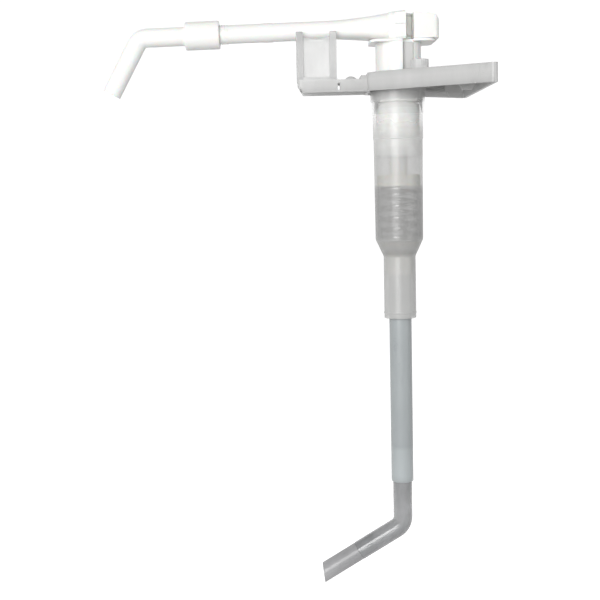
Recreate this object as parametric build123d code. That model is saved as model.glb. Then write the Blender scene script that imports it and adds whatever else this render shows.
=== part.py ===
from build123d import *
import math
import os

# Condiment pump: a fan-shaped lid, a barrel hanging from it, a press head with a long spout, a dip tube.
# Millimetres. The origin is on the pump's axis at the lid's seating face. +Z is up, the spout points to -X.

# --- clearances -------------------------------------------------------------------------------------------
RUN_FIT = 0.06            # radial gap of a shaft that slides or turns in its bore
PUSH_FIT = 0.05           # radial gap of pieces pushed together for good
FREE_GAP = 0.35           # gap between faces that pass each other without touching
CUT_OVER = 1.0            # how far a cutting tool runs past the face that it cuts

# --- stroke -----------------------------------------------------------------------------------------------
STROKE = 16.0             # travel of the head from rest to fully pressed
BALL_LIFT = 1.8           # travel of a valve ball off its seat

# --- lid --------------------------------------------------------------------------------------------------
LID_HEIGHT = 11.0
LID_WALL = 1.8
DECK_THICK = 1.8
LID_LEFT = -19.3          # where the fan meets the tongue
LID_RIGHT = 51.5          # the straight back edge
LID_HALF_LEFT = 17.0
LID_HALF_RIGHT = 62.0
LID_CORNER_R = 2.5
TONGUE_END = -61.5
TONGUE_HALF = 14.0
TONGUE_HEIGHT = 7.5
TONGUE_TOE_RUN = 3.4      # chamfer under the tongue's free end
TONGUE_TOE_RISE = 5.6
LOCATING_INSET = 5.5      # locating rib, inside the skirt
LOCATING_THICK = 1.5
LOCATING_BOTTOM = 3.5
RIB_THICK = 1.6
RIB_BOTTOM = 5.0
SPOKE_END_INSET = 13.75    # how far short of the corner a spoke rib aims
HOOK_X = 39.0             # hanging lugs that grip the container's rim
HOOK_Y = 27.0
HOOK_TOP_WIDTH = 12.0
HOOK_FOOT_WIDTH = 6.0
HOOK_THICK = 2.2
HOOK_BOTTOM = -1.5
TONGUE_SLIT_X = -36.5     # narrow see-through slit in both tongue walls
TONGUE_SLIT_WIDTH = 1.4
TONGUE_SLIT_BOTTOM = 1.4
TONGUE_SLIT_TOP = 5.4
TONGUE_SLIT_SKEW = 0.9    # the far wall's slit lies this much further right
TONGUE_SLIT_CLIMB = 1.2   # and this much higher
BUMP_X = -29.0            # two low domes on the tongue
BUMP_Y = 8.0
BUMP_R = 3.8
BUMP_RISE = 2.2
STEP_LENGTH = 3.6         # low step at the root of the tongue
STEP_HALF = 10.0
STEP_RISE = 2.6

# --- neck and barrel --------------------------------------------------------------------------------------
NECK_R = 16.7
NECK_WALL = 1.2
NECK_DEPTH = 13.4         # below the lid's seating face
NECK_ROOT_R = 17.1        # thicker root of the neck, inside the lid
BARREL_TOP = -6.0
RIM_GAP = 1.35            # between the barrel's rim and the neck
BARREL_COLLAR_R = 15.55   # thicker stretch under the neck
BARREL_COLLAR_DEPTH = 28.4
BARREL_R_TOP = 15.2
BARREL_R_BOTTOM = 14.8
BARREL_BORE_R = 13.4
SHOULDER_TOP = -90.5
SHOULDER_BOTTOM = -100.8
SOCKET_R = 10.0
SOCKET_BOTTOM = -139.6
SOCKET_WALL_TOP = 1.6     # wall round the foot valve
VALVE_FLOOR = -112.0      # ledge between the foot valve and the dip tube
SOCKET_BEAD_R = 10.35     # fine bead near the socket's mouth
SOCKET_BEAD_UP = 3.0
SOCKET_BEAD_HEIGHT = 0.8
LUG_COUNT = 3             # bayonet lugs that lock the barrel in the neck
LUG_ANGLE = 40.0
LUG_HEIGHT = 2.4
LUG_DROP = 2.0
GASKET_THICK = 1.2

# --- plunger ----------------------------------------------------------------------------------------------
STEM_R = 11.0
STEM_WIDE_BOTTOM = -33.4
STEM_NARROW_R = 5.6
STEM_BORE_R = 3.9
GUIDE_TOP = -7.4
GUIDE_BOTTOM = -27.0
WIPER_HEIGHT = 2.4
WIPER_LIP = 0.5
PLUNGER_CHAMFER = 0.8
PISTON_TOP = -50.5
PISTON_BOTTOM = -57.3
PISTON_GROOVE = 2.4
PISTON_GROOVE_DEPTH = 1.9
PISTON_BORE_R = 2.8
PISTON_CHAMFER = 0.6

# --- spring -----------------------------------------------------------------------------------------------
SPRING_WIRE_R = 1.15
SPRING_R = 10.6           # mean radius of the coils
SPRING_TURNS = 5.0
SPRING_SEAT_TOP = -92.3
SPRING_SEAT_THICK = 2.2

# --- valves -----------------------------------------------------------------------------------------------
INLET_BALL_R = 3.6
INLET_SEAT_BORE_R = 2.6
INLET_SEAT_HEIGHT = 5.4
OUTLET_BALL_R = 2.6
OUTLET_SEAT_BORE_R = 1.8
OUTLET_SEAT_HEIGHT = 3.0
CAGE_WALL = 1.3
CAGE_BAR = 1.6            # width of the bars over a ball

# --- head -------------------------------------------------------------------------------------------------
COLUMN_X = 0.8            # the column stands a little to the right of the pump's axis
COLUMN_R = 14.0
COLUMN_BOTTOM = 12.2
FLANGE_BOTTOM = 29.4
FLANGE_THICK = 1.5
FLANGE_LEFT = -17.2
FLANGE_RIGHT = 22.4
FLANGE_HALF = 14.2
FLANGE_CORNER_R = 6.0
SPIGOT_R = 9.0
SPIGOT_TOP = 46.8
HEAD_SEAL_BELOW = 2.4     # distances of the spigot's two rings from the side port
HEAD_SEAL_ABOVE = 2.0
SLOT_LEFT = 2.3
SLOT_RIGHT = 9.1
SLOT_FLOOR = 9.6          # distance of the slot's floor from the middle plane
ARM_BLOCK_LEFT = -6.0
ARM_BLOCK_RIGHT = 4.3
ARM_BLOCK_HALF = 14.4
ARM_TOP_LEFT = 46.9
ARM_TOP_RIGHT = 48.2
TAB_LEFT = -2.2           # snap tabs on the arm's block
TAB_PROUD = 1.1
TAB_UPPER = (39.6, 46.2)
TAB_LOWER = (31.6, 37.0)
BLOCK_RIGHT = 24.6
BLOCK_HALF = 14.0
BLOCK_TOP_LEFT = 46.9
BLOCK_TOP_RIGHT = 45.2
BLOCK_CHAMFER_RUN = 2.0
BLOCK_CHAMFER_DROP = 3.2
BLOCK_BOTTOM_GAP = 0.1
HEAD_CORNER_R = 4.0       # rounded outer corners of the arm's block and the press block
PEG_R = 1.5
PEG_Y = 5.5
PEG_X = 11.4
PEG_LENGTH = 9.0
PEG_SINK = 4.0

# --- spout ------------------------------------------------------------------------------------------------
SPOUT_Z = 39.4            # height of the spout's centre line at the pump's axis
SPOUT_FALL = 1.2          # degrees that the spout falls towards its nozzle
SPOUT_R = 5.65
SPOUT_BORE_R = 3.8
FLARE_START = -38.0
FLARE_ROUNDNESS = 0.42    # corner radius of the flare's wide end, as a share of its height
SPOUT_END = -126.5
BAND_X = -76.0
BAND_LENGTH = 6.0
BAND_PROUD = 0.25
RING_COUNT = 3            # fine rings just behind the nozzle's collar
RING_PITCH = 1.7
RING_PROUD = 0.3
RING_WIDTH = 0.8

# --- nozzle -----------------------------------------------------------------------------------------------
COLLAR_START = -108.4
COLLAR_LENGTH = 21.1
COLLAR_R = 8.6
COLLAR_CHAMFER = 0.6
NOZZLE_R = 5.75
NOZZLE_BORE_R = 3.9
NOZZLE_BEND_X = -157.4
NOZZLE_DOWN = 61.0        # degrees that the outlet leg points below the straight leg
NOZZLE_BEND_R = 7.5
NOZZLE_LEG = 38.3
NOTCH_WIDTH = 3.0
NOTCH_DEPTH = 2.2
NOZZLE_SEAL_R = 0.5       # section radius of the O-ring
NOZZLE_SEAL_X = -120.0

# --- spout guide ------------------------------------------------------------------------------------------
GUIDE_LEFT = -61.8
GUIDE_RIGHT = -37.3
GUIDE_POST_LENGTH = 4.2   # thick posts at the two ends of each wall
GUIDE_POST_OUT = 10.6
GUIDE_WALL = 1.8
GUIDE_POST_TOP = 36.9
GUIDE_WEB_TOP = 34.4
GUIDE_WEB_DIP = 1.6
GUIDE_BASE = 2.0
GUIDE_CHAMFER = 0.8
WEB_OVERLAP = 1.0         # how far a web runs into its posts

# --- vent plug --------------------------------------------------------------------------------------------
VENT_X = 11.5
VENT_Y = -21.5
VENT_R = 5.4
VENT_RISE = 6.4
VENT_EDGE_R = 0.8
VENT_STEM_R = 3.0
VENT_STEM_DROP = 4.5

# --- dip tube, elbow and tip ------------------------------------------------------------------------------
DIP_R = 7.0
DIP_WALL = 0.85
DIP_BOTTOM = -244.3
ELBOW_WALL = 1.1
ELBOW_TOP = -223.0
ELBOW_BEND_Z = -273.0
ELBOW_SLOPE = 31.0        # degrees that the foot slopes below level
ELBOW_BEND_R = 9.0
ELBOW_LEG = 33.0
TIP_WALL = 1.0
TIP_PROUD = 0.85          # how far the tip stands out past the elbow's bore
TIP_REACH = 60.0          # along the slope from the bend's corner to the tip's end
TIP_OVERLAP = 12.0
TIP_CUT_TILT = 24.0       # degrees between the tip's end face and a square cut

# --- worked out from the above ----------------------------------------------------------------------------
NECK_BORE_R = NECK_R - NECK_WALL
DECK_BOTTOM = LID_HEIGHT - DECK_THICK
DECK_HOLE_R = COLUMN_R + COLUMN_X + FREE_GAP
BARREL_RIM_R = NECK_BORE_R - RIM_GAP
LUG_R = NECK_BORE_R - PUSH_FIT
GUIDE_OUT_R = BARREL_BORE_R - PUSH_FIT
STEM_BUSH_R = STEM_R + RUN_FIT
PISTON_R = BARREL_BORE_R - 2 * RUN_FIT
SOCKET_TUBE_R = DIP_R + PUSH_FIT
VALVE_BORE_R = SOCKET_R - SOCKET_WALL_TOP
ELBOW_R = DIP_R - DIP_WALL - PUSH_FIT
TIP_R = ELBOW_R - ELBOW_WALL + TIP_PROUD
FLANGE_TOP = FLANGE_BOTTOM + FLANGE_THICK
SPIGOT_BORE_R = SPIGOT_R + PUSH_FIT
GUIDE_CHANNEL = SPOUT_R + FREE_GAP
COLLAR_END = COLLAR_START - COLLAR_LENGTH
SPOUT_TILT = Pos(0, 0, SPOUT_Z) * Rot(0, -SPOUT_FALL, 0) * Pos(0, 0, -SPOUT_Z)


def rod(radius, low, high, x=0.0, y=0.0):
    """Upright cylinder from one height to another."""
    return Pos(x, y, low) * Cylinder(radius, high - low, align=(Align.CENTER, Align.CENTER, Align.MIN))


def ring(outer, inner, low, high, x=0.0):
    """Upright tube from one height to another."""
    return rod(outer, low, high, x) - rod(inner, low - CUT_OVER, high + CUT_OVER, x)


def slab(x_range, y_range, z_range):
    """Box between pairs of limits."""
    size = [high - low for low, high in (x_range, y_range, z_range)]
    corner = Pos(x_range[0], y_range[0], z_range[0])
    return corner * Box(*size, align=(Align.MIN, Align.MIN, Align.MIN))


def turned(points, angle=360.0):
    """Solid of revolution about the pump's axis from (radius, height) points."""
    outline = make_face(Polyline(*[(radius, 0, height) for radius, height in points], close=True))
    return revolve(outline, Axis.Z, revolution_arc=angle)


def cross_rod(radius, start, end, z=SPOUT_Z):
    """Level cylinder along X between two places."""
    low = min(start, end)
    length = abs(end - start)
    level = Pos(low, 0, z) * Rot(0, 90, 0)
    return level * Cylinder(radius, length, align=(Align.CENTER, Align.CENTER, Align.MIN))


def fan_plan(inset):
    """Plan of the lid's fan, moved in from its outline by an inset."""
    outline = Polyline(
        (LID_LEFT, -LID_HALF_LEFT),
        (LID_RIGHT, -LID_HALF_RIGHT),
        (LID_RIGHT, LID_HALF_RIGHT),
        (LID_LEFT, LID_HALF_LEFT),
        close=True,
    )
    face = make_face(outline)
    face = fillet(face.vertices(), LID_CORNER_R)
    if inset:
        face = offset(face, -inset, kind=Kind.INTERSECTION)
    return face


def raised(face, low, high):
    """Flat face lifted to a height and thickened upwards."""
    return Pos(0, 0, low) * extrude(face, high - low)


def make_tongue():
    """Narrow box that carries the spout guide, open below, its free end cut away underneath."""
    root = LID_LEFT + LID_WALL
    body = slab((TONGUE_END, root), (-TONGUE_HALF, TONGUE_HALF), (0, TONGUE_HEIGHT))
    body = fillet(body.edges().filter_by(Axis.Z).group_by(Axis.X)[0], LID_CORNER_R)
    inner_half = TONGUE_HALF - LID_WALL
    ceiling = TONGUE_HEIGHT - DECK_THICK
    body -= slab((TONGUE_END + LID_WALL, LID_LEFT), (-inner_half, inner_half), (-CUT_OVER, ceiling))
    rib_half = RIB_THICK / 2
    body += slab((TONGUE_END + LID_WALL, LID_LEFT), (-rib_half, rib_half), (RIB_BOTTOM / 2, ceiling))
    toe = make_face(Polyline(
        (TONGUE_END - CUT_OVER, 0, -CUT_OVER),
        (TONGUE_END + TONGUE_TOE_RUN, 0, -CUT_OVER),
        (TONGUE_END + TONGUE_TOE_RUN, 0, 0),
        (TONGUE_END, 0, TONGUE_TOE_RISE),
        (TONGUE_END - CUT_OVER, 0, TONGUE_TOE_RISE),
        close=True,
    ))
    body -= extrude(toe, 2 * TONGUE_HALF, both=True)
    left, right = TONGUE_SLIT_X - TONGUE_SLIT_WIDTH / 2, TONGUE_SLIT_X + TONGUE_SLIT_WIDTH / 2
    far_left, far_right = left + TONGUE_SLIT_SKEW, right + TONGUE_SLIT_SKEW
    bottom, top = TONGUE_SLIT_BOTTOM, TONGUE_SLIT_TOP
    far_bottom, far_top = bottom + TONGUE_SLIT_CLIMB, top + TONGUE_SLIT_CLIMB
    body -= slab((left, right), (-2 * TONGUE_HALF, -inner_half + CUT_OVER), (bottom, top))
    body -= slab((far_left, far_right), (inner_half - CUT_OVER, 2 * TONGUE_HALF), (far_bottom, far_top))
    body -= slab((left, far_right), (-inner_half / 2, inner_half / 2), (bottom, far_top))
    step = (LID_LEFT - STEP_LENGTH, LID_LEFT)
    body += slab(step, (-STEP_HALF, STEP_HALF), (TONGUE_HEIGHT, TONGUE_HEIGHT + STEP_RISE))
    dome_r = (BUMP_R ** 2 + BUMP_RISE ** 2) / (2 * BUMP_RISE)
    dome = Sphere(dome_r) & rod(BUMP_R, dome_r - BUMP_RISE - DECK_THICK / 2, dome_r)
    for side in (-1, 1):
        body += Pos(BUMP_X, side * BUMP_Y, TONGUE_HEIGHT + BUMP_RISE - dome_r) * dome
    return body


def make_hook():
    """Lug that hangs from the deck and narrows to its foot, facing across the lid."""
    outline = make_face(Polyline(
        (-HOOK_TOP_WIDTH / 2, 0, DECK_BOTTOM + DECK_THICK / 2),
        (HOOK_TOP_WIDTH / 2, 0, DECK_BOTTOM + DECK_THICK / 2),
        (HOOK_TOP_WIDTH / 2, 0, LOCATING_BOTTOM),
        (HOOK_FOOT_WIDTH / 2, 0, HOOK_BOTTOM),
        (-HOOK_FOOT_WIDTH / 2, 0, HOOK_BOTTOM),
        (-HOOK_TOP_WIDTH / 2, 0, LOCATING_BOTTOM),
        close=True,
    ))
    return extrude(outline, HOOK_THICK / 2, both=True)


def make_lid():
    """Fan deck with its skirt, locating rib, ribs, hooks, tongue and neck."""
    body = raised(fan_plan(0), 0, LID_HEIGHT)
    body -= raised(fan_plan(LID_WALL), -CUT_OVER, DECK_BOTTOM)
    locating = raised(fan_plan(LOCATING_INSET), LOCATING_BOTTOM, DECK_BOTTOM + DECK_THICK / 2)
    locating -= raised(fan_plan(LOCATING_INSET + LOCATING_THICK), 0, DECK_BOTTOM)
    body += locating
    reach = LID_RIGHT - LID_WALL / 2
    root = NECK_R - NECK_WALL / 2
    deck_middle = LID_HEIGHT - DECK_THICK / 2
    across = (-RIB_THICK / 2, RIB_THICK / 2)
    body += slab((root, reach), across, (RIB_BOTTOM, deck_middle))
    slope = math.degrees(math.atan2(LID_HALF_RIGHT - LOCATING_INSET, LID_RIGHT - LOCATING_INSET))
    spoke_end = math.hypot(LID_RIGHT - 2 * LOCATING_INSET, LID_HALF_RIGHT - SPOKE_END_INSET)
    spoke = slab((root, spoke_end), across, (RIB_BOTTOM, deck_middle))
    for side in (-1, 1):
        body += Rot(0, 0, side * slope) * spoke
        body += Pos(HOOK_X, side * HOOK_Y, 0) * make_hook()
    body += make_tongue()
    body += ring(NECK_R, NECK_BORE_R, -NECK_DEPTH, deck_middle)
    body += ring(NECK_ROOT_R, NECK_BORE_R, 0, deck_middle)
    body -= rod(NECK_BORE_R, -NECK_DEPTH - CUT_OVER, DECK_BOTTOM)
    body -= rod(DECK_HOLE_R, 0, LID_HEIGHT + CUT_OVER)
    body -= rod(VENT_STEM_R + PUSH_FIT, DECK_BOTTOM - CUT_OVER, LID_HEIGHT + CUT_OVER, VENT_X, VENT_Y)
    return body


def make_spout_guide():
    """Fork with two webbed walls on a base plate; the spout tube slides between the walls."""
    seat = TONGUE_HEIGHT
    ends = (GUIDE_LEFT, GUIDE_RIGHT)
    body = slab(ends, (-GUIDE_POST_OUT, GUIDE_POST_OUT), (seat, seat + GUIDE_BASE))
    middle = (GUIDE_LEFT + GUIDE_RIGHT) / 2
    half_span = (GUIDE_RIGHT - GUIDE_LEFT) / 2 - GUIDE_POST_LENGTH
    left = middle - half_span - WEB_OVERLAP
    right = middle + half_span + WEB_OVERLAP
    dip = (middle, 0, GUIDE_WEB_TOP - GUIDE_WEB_DIP)
    web = make_face(
        Line((left, 0, seat), (right, 0, seat))
        + Line((right, 0, seat), (right, 0, GUIDE_WEB_TOP))
        + ThreePointArc((right, 0, GUIDE_WEB_TOP), dip, (left, 0, GUIDE_WEB_TOP))
        + Line((left, 0, GUIDE_WEB_TOP), (left, 0, seat))
    )
    wall = Pos(0, GUIDE_CHANNEL + GUIDE_WALL, 0) * extrude(web, GUIDE_WALL, dir=(0, -1, 0))
    body += wall
    body += Pos(0, -2 * GUIDE_CHANNEL - GUIDE_WALL, 0) * wall
    for side in (-1, 1):
        across = sorted((side * GUIDE_CHANNEL, side * GUIDE_POST_OUT))
        for start in (GUIDE_LEFT, GUIDE_RIGHT - GUIDE_POST_LENGTH):
            post = slab((start, start + GUIDE_POST_LENGTH), across, (seat, GUIDE_POST_TOP))
            top_edges = post.edges().filter_by(Axis.X).group_by(Axis.Z)[-1]
            body += chamfer(top_edges.sort_by(Axis.Y)[0:1], GUIDE_CHAMFER)
    return body


def make_vent_plug():
    """Round cap on a short stem that is pushed into the deck."""
    cap = rod(VENT_R, LID_HEIGHT, LID_HEIGHT + VENT_RISE)
    cap = fillet(cap.edges().group_by(Axis.Z)[-1], VENT_EDGE_R)
    cap -= rod(VENT_R - LID_WALL, LID_HEIGHT + VENT_RISE / 2, LID_HEIGHT + VENT_RISE + CUT_OVER)
    cap += rod(VENT_STEM_R, LID_HEIGHT - VENT_STEM_DROP, LID_HEIGHT)
    return Pos(VENT_X, VENT_Y, 0) * cap


def make_barrel():
    """Barrel with its rim, collar, tapering shoulder and the socket for the dip tube."""
    outer = turned([
        (0, BARREL_TOP),
        (BARREL_RIM_R, BARREL_TOP),
        (BARREL_RIM_R, -NECK_DEPTH),
        (BARREL_COLLAR_R, -NECK_DEPTH),
        (BARREL_COLLAR_R, -BARREL_COLLAR_DEPTH),
        (BARREL_R_TOP, -BARREL_COLLAR_DEPTH),
        (BARREL_R_BOTTOM, SHOULDER_TOP),
        (SOCKET_R, SHOULDER_BOTTOM),
        (SOCKET_R, SOCKET_BOTTOM + SOCKET_BEAD_UP + SOCKET_BEAD_HEIGHT),
        (SOCKET_BEAD_R, SOCKET_BOTTOM + SOCKET_BEAD_UP + SOCKET_BEAD_HEIGHT / 2),
        (SOCKET_R, SOCKET_BOTTOM + SOCKET_BEAD_UP),
        (SOCKET_R, SOCKET_BOTTOM),
        (0, SOCKET_BOTTOM),
    ])
    lug_top = BARREL_TOP - LUG_DROP
    lug = turned([
        (BARREL_RIM_R - CUT_OVER / 2, lug_top),
        (LUG_R, lug_top),
        (LUG_R, lug_top - LUG_HEIGHT),
        (BARREL_RIM_R - CUT_OVER / 2, lug_top - LUG_HEIGHT),
    ], LUG_ANGLE)
    for turn in range(LUG_COUNT):
        outer += Rot(0, 0, turn * 360 / LUG_COUNT) * lug
    bore = turned([
        (0, BARREL_TOP + CUT_OVER),
        (BARREL_BORE_R, BARREL_TOP + CUT_OVER),
        (BARREL_BORE_R, SHOULDER_TOP),
        (VALVE_BORE_R, SHOULDER_BOTTOM),
        (VALVE_BORE_R, VALVE_FLOOR),
        (SOCKET_TUBE_R, VALVE_FLOOR),
        (SOCKET_TUBE_R, SOCKET_BOTTOM - CUT_OVER),
        (0, SOCKET_BOTTOM - CUT_OVER),
    ])
    return outer - bore


def make_gasket():
    """Washer that closes the gap between the barrel's rim and the deck's underside."""
    return ring(BARREL_RIM_R, BARREL_BORE_R, BARREL_TOP, BARREL_TOP + GASKET_THICK)


def make_stem_guide():
    """Bush in the barrel's top, chamfered at its lower outer edge."""
    bush = ring(GUIDE_OUT_R, STEM_BUSH_R, GUIDE_BOTTOM, GUIDE_TOP - WIPER_HEIGHT)
    return chamfer(bush.edges().group_by(Axis.Z)[0].sort_by(SortBy.RADIUS)[-1:], PLUNGER_CHAMFER)


def make_stem_wiper():
    """Lip ring above the bush, which wipes the stem."""
    return turned([
        (STEM_BUSH_R, GUIDE_TOP),
        (STEM_BUSH_R + WIPER_LIP, GUIDE_TOP - WIPER_HEIGHT),
        (GUIDE_OUT_R, GUIDE_TOP - WIPER_HEIGHT),
        (GUIDE_OUT_R, GUIDE_TOP),
        (STEM_BUSH_R + 3 * WIPER_LIP, GUIDE_TOP),
        (STEM_BUSH_R + 2 * WIPER_LIP, GUIDE_TOP - WIPER_HEIGHT / 2),
    ])


def make_stem():
    """Hollow stem, wide where the bush guides it and narrow down to the piston."""
    thread_end = PISTON_TOP - (PISTON_TOP - PISTON_BOTTOM) / 2
    body = rod(STEM_R, STEM_WIDE_BOTTOM, COLUMN_BOTTOM)
    body = chamfer(body.edges().group_by(Axis.Z)[0], PLUNGER_CHAMFER)
    body += rod(STEM_NARROW_R, thread_end, STEM_WIDE_BOTTOM)
    return body - rod(STEM_BORE_R, thread_end - CUT_OVER, COLUMN_BOTTOM + CUT_OVER)


def make_piston():
    """Piston with one seal groove and a socket for the stem's narrow end."""
    middle = (PISTON_TOP + PISTON_BOTTOM) / 2
    groove_floor = PISTON_R - PISTON_GROOVE_DEPTH
    body = turned([
        (PISTON_BORE_R, PISTON_TOP),
        (PISTON_R - PISTON_CHAMFER, PISTON_TOP),
        (PISTON_R, PISTON_TOP - PISTON_CHAMFER),
        (PISTON_R, middle + PISTON_GROOVE / 2),
        (groove_floor, middle + PISTON_GROOVE / 2),
        (groove_floor, middle - PISTON_GROOVE / 2),
        (PISTON_R, middle - PISTON_GROOVE / 2),
        (PISTON_R, PISTON_BOTTOM),
        (PISTON_BORE_R, PISTON_BOTTOM),
    ])
    return body - rod(STEM_NARROW_R + PUSH_FIT, middle, PISTON_TOP + CUT_OVER)


def make_piston_seal():
    """Square-section seal ring in the piston's groove."""
    middle = (PISTON_TOP + PISTON_BOTTOM) / 2
    half = PISTON_GROOVE / 2 - PUSH_FIT
    inner = PISTON_R - PISTON_GROOVE_DEPTH + PUSH_FIT
    return ring(BARREL_BORE_R - RUN_FIT, inner, middle - half, middle + half)


def make_spring():
    """Coil spring between the spring seat and the piston."""
    low = SPRING_SEAT_TOP + SPRING_WIRE_R + PUSH_FIT
    high = PISTON_BOTTOM - SPRING_WIRE_R - PUSH_FIT
    path = Pos(0, 0, low) * Helix((high - low) / SPRING_TURNS, high - low, SPRING_R)
    start = Plane(origin=path @ 0, z_dir=path % 0)
    return sweep(start * Circle(SPRING_WIRE_R), path, is_frenet=True)


def make_spring_seat():
    """Ring that fills the shoulder's cone and gives the spring a flat seat."""
    drop = SHOULDER_TOP - SPRING_SEAT_TOP
    slope = (BARREL_BORE_R - VALVE_BORE_R) / (SHOULDER_TOP - SHOULDER_BOTTOM)
    top_r = BARREL_BORE_R - slope * drop - PUSH_FIT
    bottom_r = top_r - slope * SPRING_SEAT_THICK
    bottom = SPRING_SEAT_TOP - SPRING_SEAT_THICK
    return turned([
        (VALVE_BORE_R, SPRING_SEAT_TOP),
        (top_r, SPRING_SEAT_TOP),
        (bottom_r, bottom),
        (VALVE_BORE_R, bottom),
    ])


def seat_ring(outer, bore, floor, height, ball):
    """Valve seat with a conical rim that a ball rests on; gives the solid and the ball's resting height."""
    cone = ball - bore
    body = turned([
        (bore, floor),
        (outer, floor),
        (outer, floor + height),
        (bore + cone, floor + height),
        (bore, floor + height - cone),
    ])
    # On a 45 degree cone the ball's centre is its radius times sqrt(2) above the cone's apex.
    apex = floor + height - cone - bore
    centre = apex + (ball + PUSH_FIT) * math.sqrt(2)
    return body, centre


def ball_cage(outer, ball, floor, ball_centre):
    """Tube over a seat with crossed bars that stop the ball after its lift."""
    stop = ball_centre + ball + BALL_LIFT + PUSH_FIT
    body = ring(outer, outer - CAGE_WALL, floor, stop + CAGE_BAR)
    bars = slab((-outer, outer), (-CAGE_BAR / 2, CAGE_BAR / 2), (stop, stop + CAGE_BAR))
    bars += Rot(0, 0, 90) * bars
    return body + (bars & rod(outer - CAGE_WALL / 2, floor, stop + CAGE_BAR))


def make_inlet_valve():
    """Foot valve in the barrel's socket: seat, ball and cage."""
    outer = VALVE_BORE_R - PUSH_FIT
    seat, centre = seat_ring(outer, INLET_SEAT_BORE_R, VALVE_FLOOR, INLET_SEAT_HEIGHT, INLET_BALL_R)
    ball = Pos(0, 0, centre) * Sphere(INLET_BALL_R)
    cage = ball_cage(outer, INLET_BALL_R, VALVE_FLOOR + INLET_SEAT_HEIGHT, centre)
    return seat, ball, cage


def make_outlet_valve():
    """Valve in the stem's bore, on a seat that stands on the piston's socket floor."""
    floor = (PISTON_TOP + PISTON_BOTTOM) / 2 + PUSH_FIT
    outer = STEM_BORE_R - PUSH_FIT
    seat, centre = seat_ring(outer, OUTLET_SEAT_BORE_R, floor, OUTLET_SEAT_HEIGHT, OUTLET_BALL_R)
    ball = Pos(0, 0, centre) * Sphere(OUTLET_BALL_R)
    stop = centre + OUTLET_BALL_R + BALL_LIFT + PUSH_FIT
    cage = ring(outer, outer - CAGE_WALL, stop, stop + 2 * CAGE_BAR)
    cage += slab((-outer + CAGE_WALL / 2, outer - CAGE_WALL / 2), (-CAGE_BAR / 2, CAGE_BAR / 2),
                 (stop, stop + CAGE_BAR))
    return seat, ball, cage


def make_column():
    """Slotted column with its flange and the spigot that the spout arm clips to."""
    body = rod(COLUMN_R, COLUMN_BOTTOM, FLANGE_TOP, COLUMN_X)
    flange = slab((FLANGE_LEFT, FLANGE_RIGHT), (-FLANGE_HALF, FLANGE_HALF), (FLANGE_BOTTOM, FLANGE_TOP))
    body += fillet(flange.edges().filter_by(Axis.Z), FLANGE_CORNER_R)
    body += rod(SPIGOT_R, FLANGE_TOP, SPIGOT_TOP, COLUMN_X)
    for side in (-1, 1):
        across = sorted((side * SLOT_FLOOR, side * 2 * COLUMN_R))
        body -= slab((SLOT_LEFT, SLOT_RIGHT), across, (COLUMN_BOTTOM - CUT_OVER, FLANGE_TOP + CUT_OVER))
        body -= rod(PEG_R + PUSH_FIT, FLANGE_TOP - PEG_SINK, FLANGE_TOP + CUT_OVER, PEG_X, side * PEG_Y)
    body -= rod(STEM_BORE_R, COLUMN_BOTTOM - CUT_OVER, SPOUT_Z + SPOUT_BORE_R + CUT_OVER)
    body -= cross_rod(SPOUT_BORE_R, 0, -2 * SPIGOT_R)
    for groove in head_seal_heights():
        body -= ring(SPIGOT_R + CUT_OVER, SPIGOT_R - 2 * NOZZLE_SEAL_R - PUSH_FIT,
                     groove - NOZZLE_SEAL_R - PUSH_FIT, groove + NOZZLE_SEAL_R + PUSH_FIT, COLUMN_X)
    return body


def head_seal_heights():
    """Heights of the two rings, below and above the spigot's side port."""
    return SPOUT_Z - SPOUT_BORE_R - HEAD_SEAL_BELOW, SPOUT_Z + SPOUT_BORE_R + HEAD_SEAL_ABOVE


def make_head_orings():
    """Two rings in the spigot's grooves."""
    centre_r = SPIGOT_R - NOZZLE_SEAL_R
    rings = [Pos(COLUMN_X, 0, height) * Torus(centre_r, NOZZLE_SEAL_R) for height in head_seal_heights()]
    return Compound(children=rings)


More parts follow.
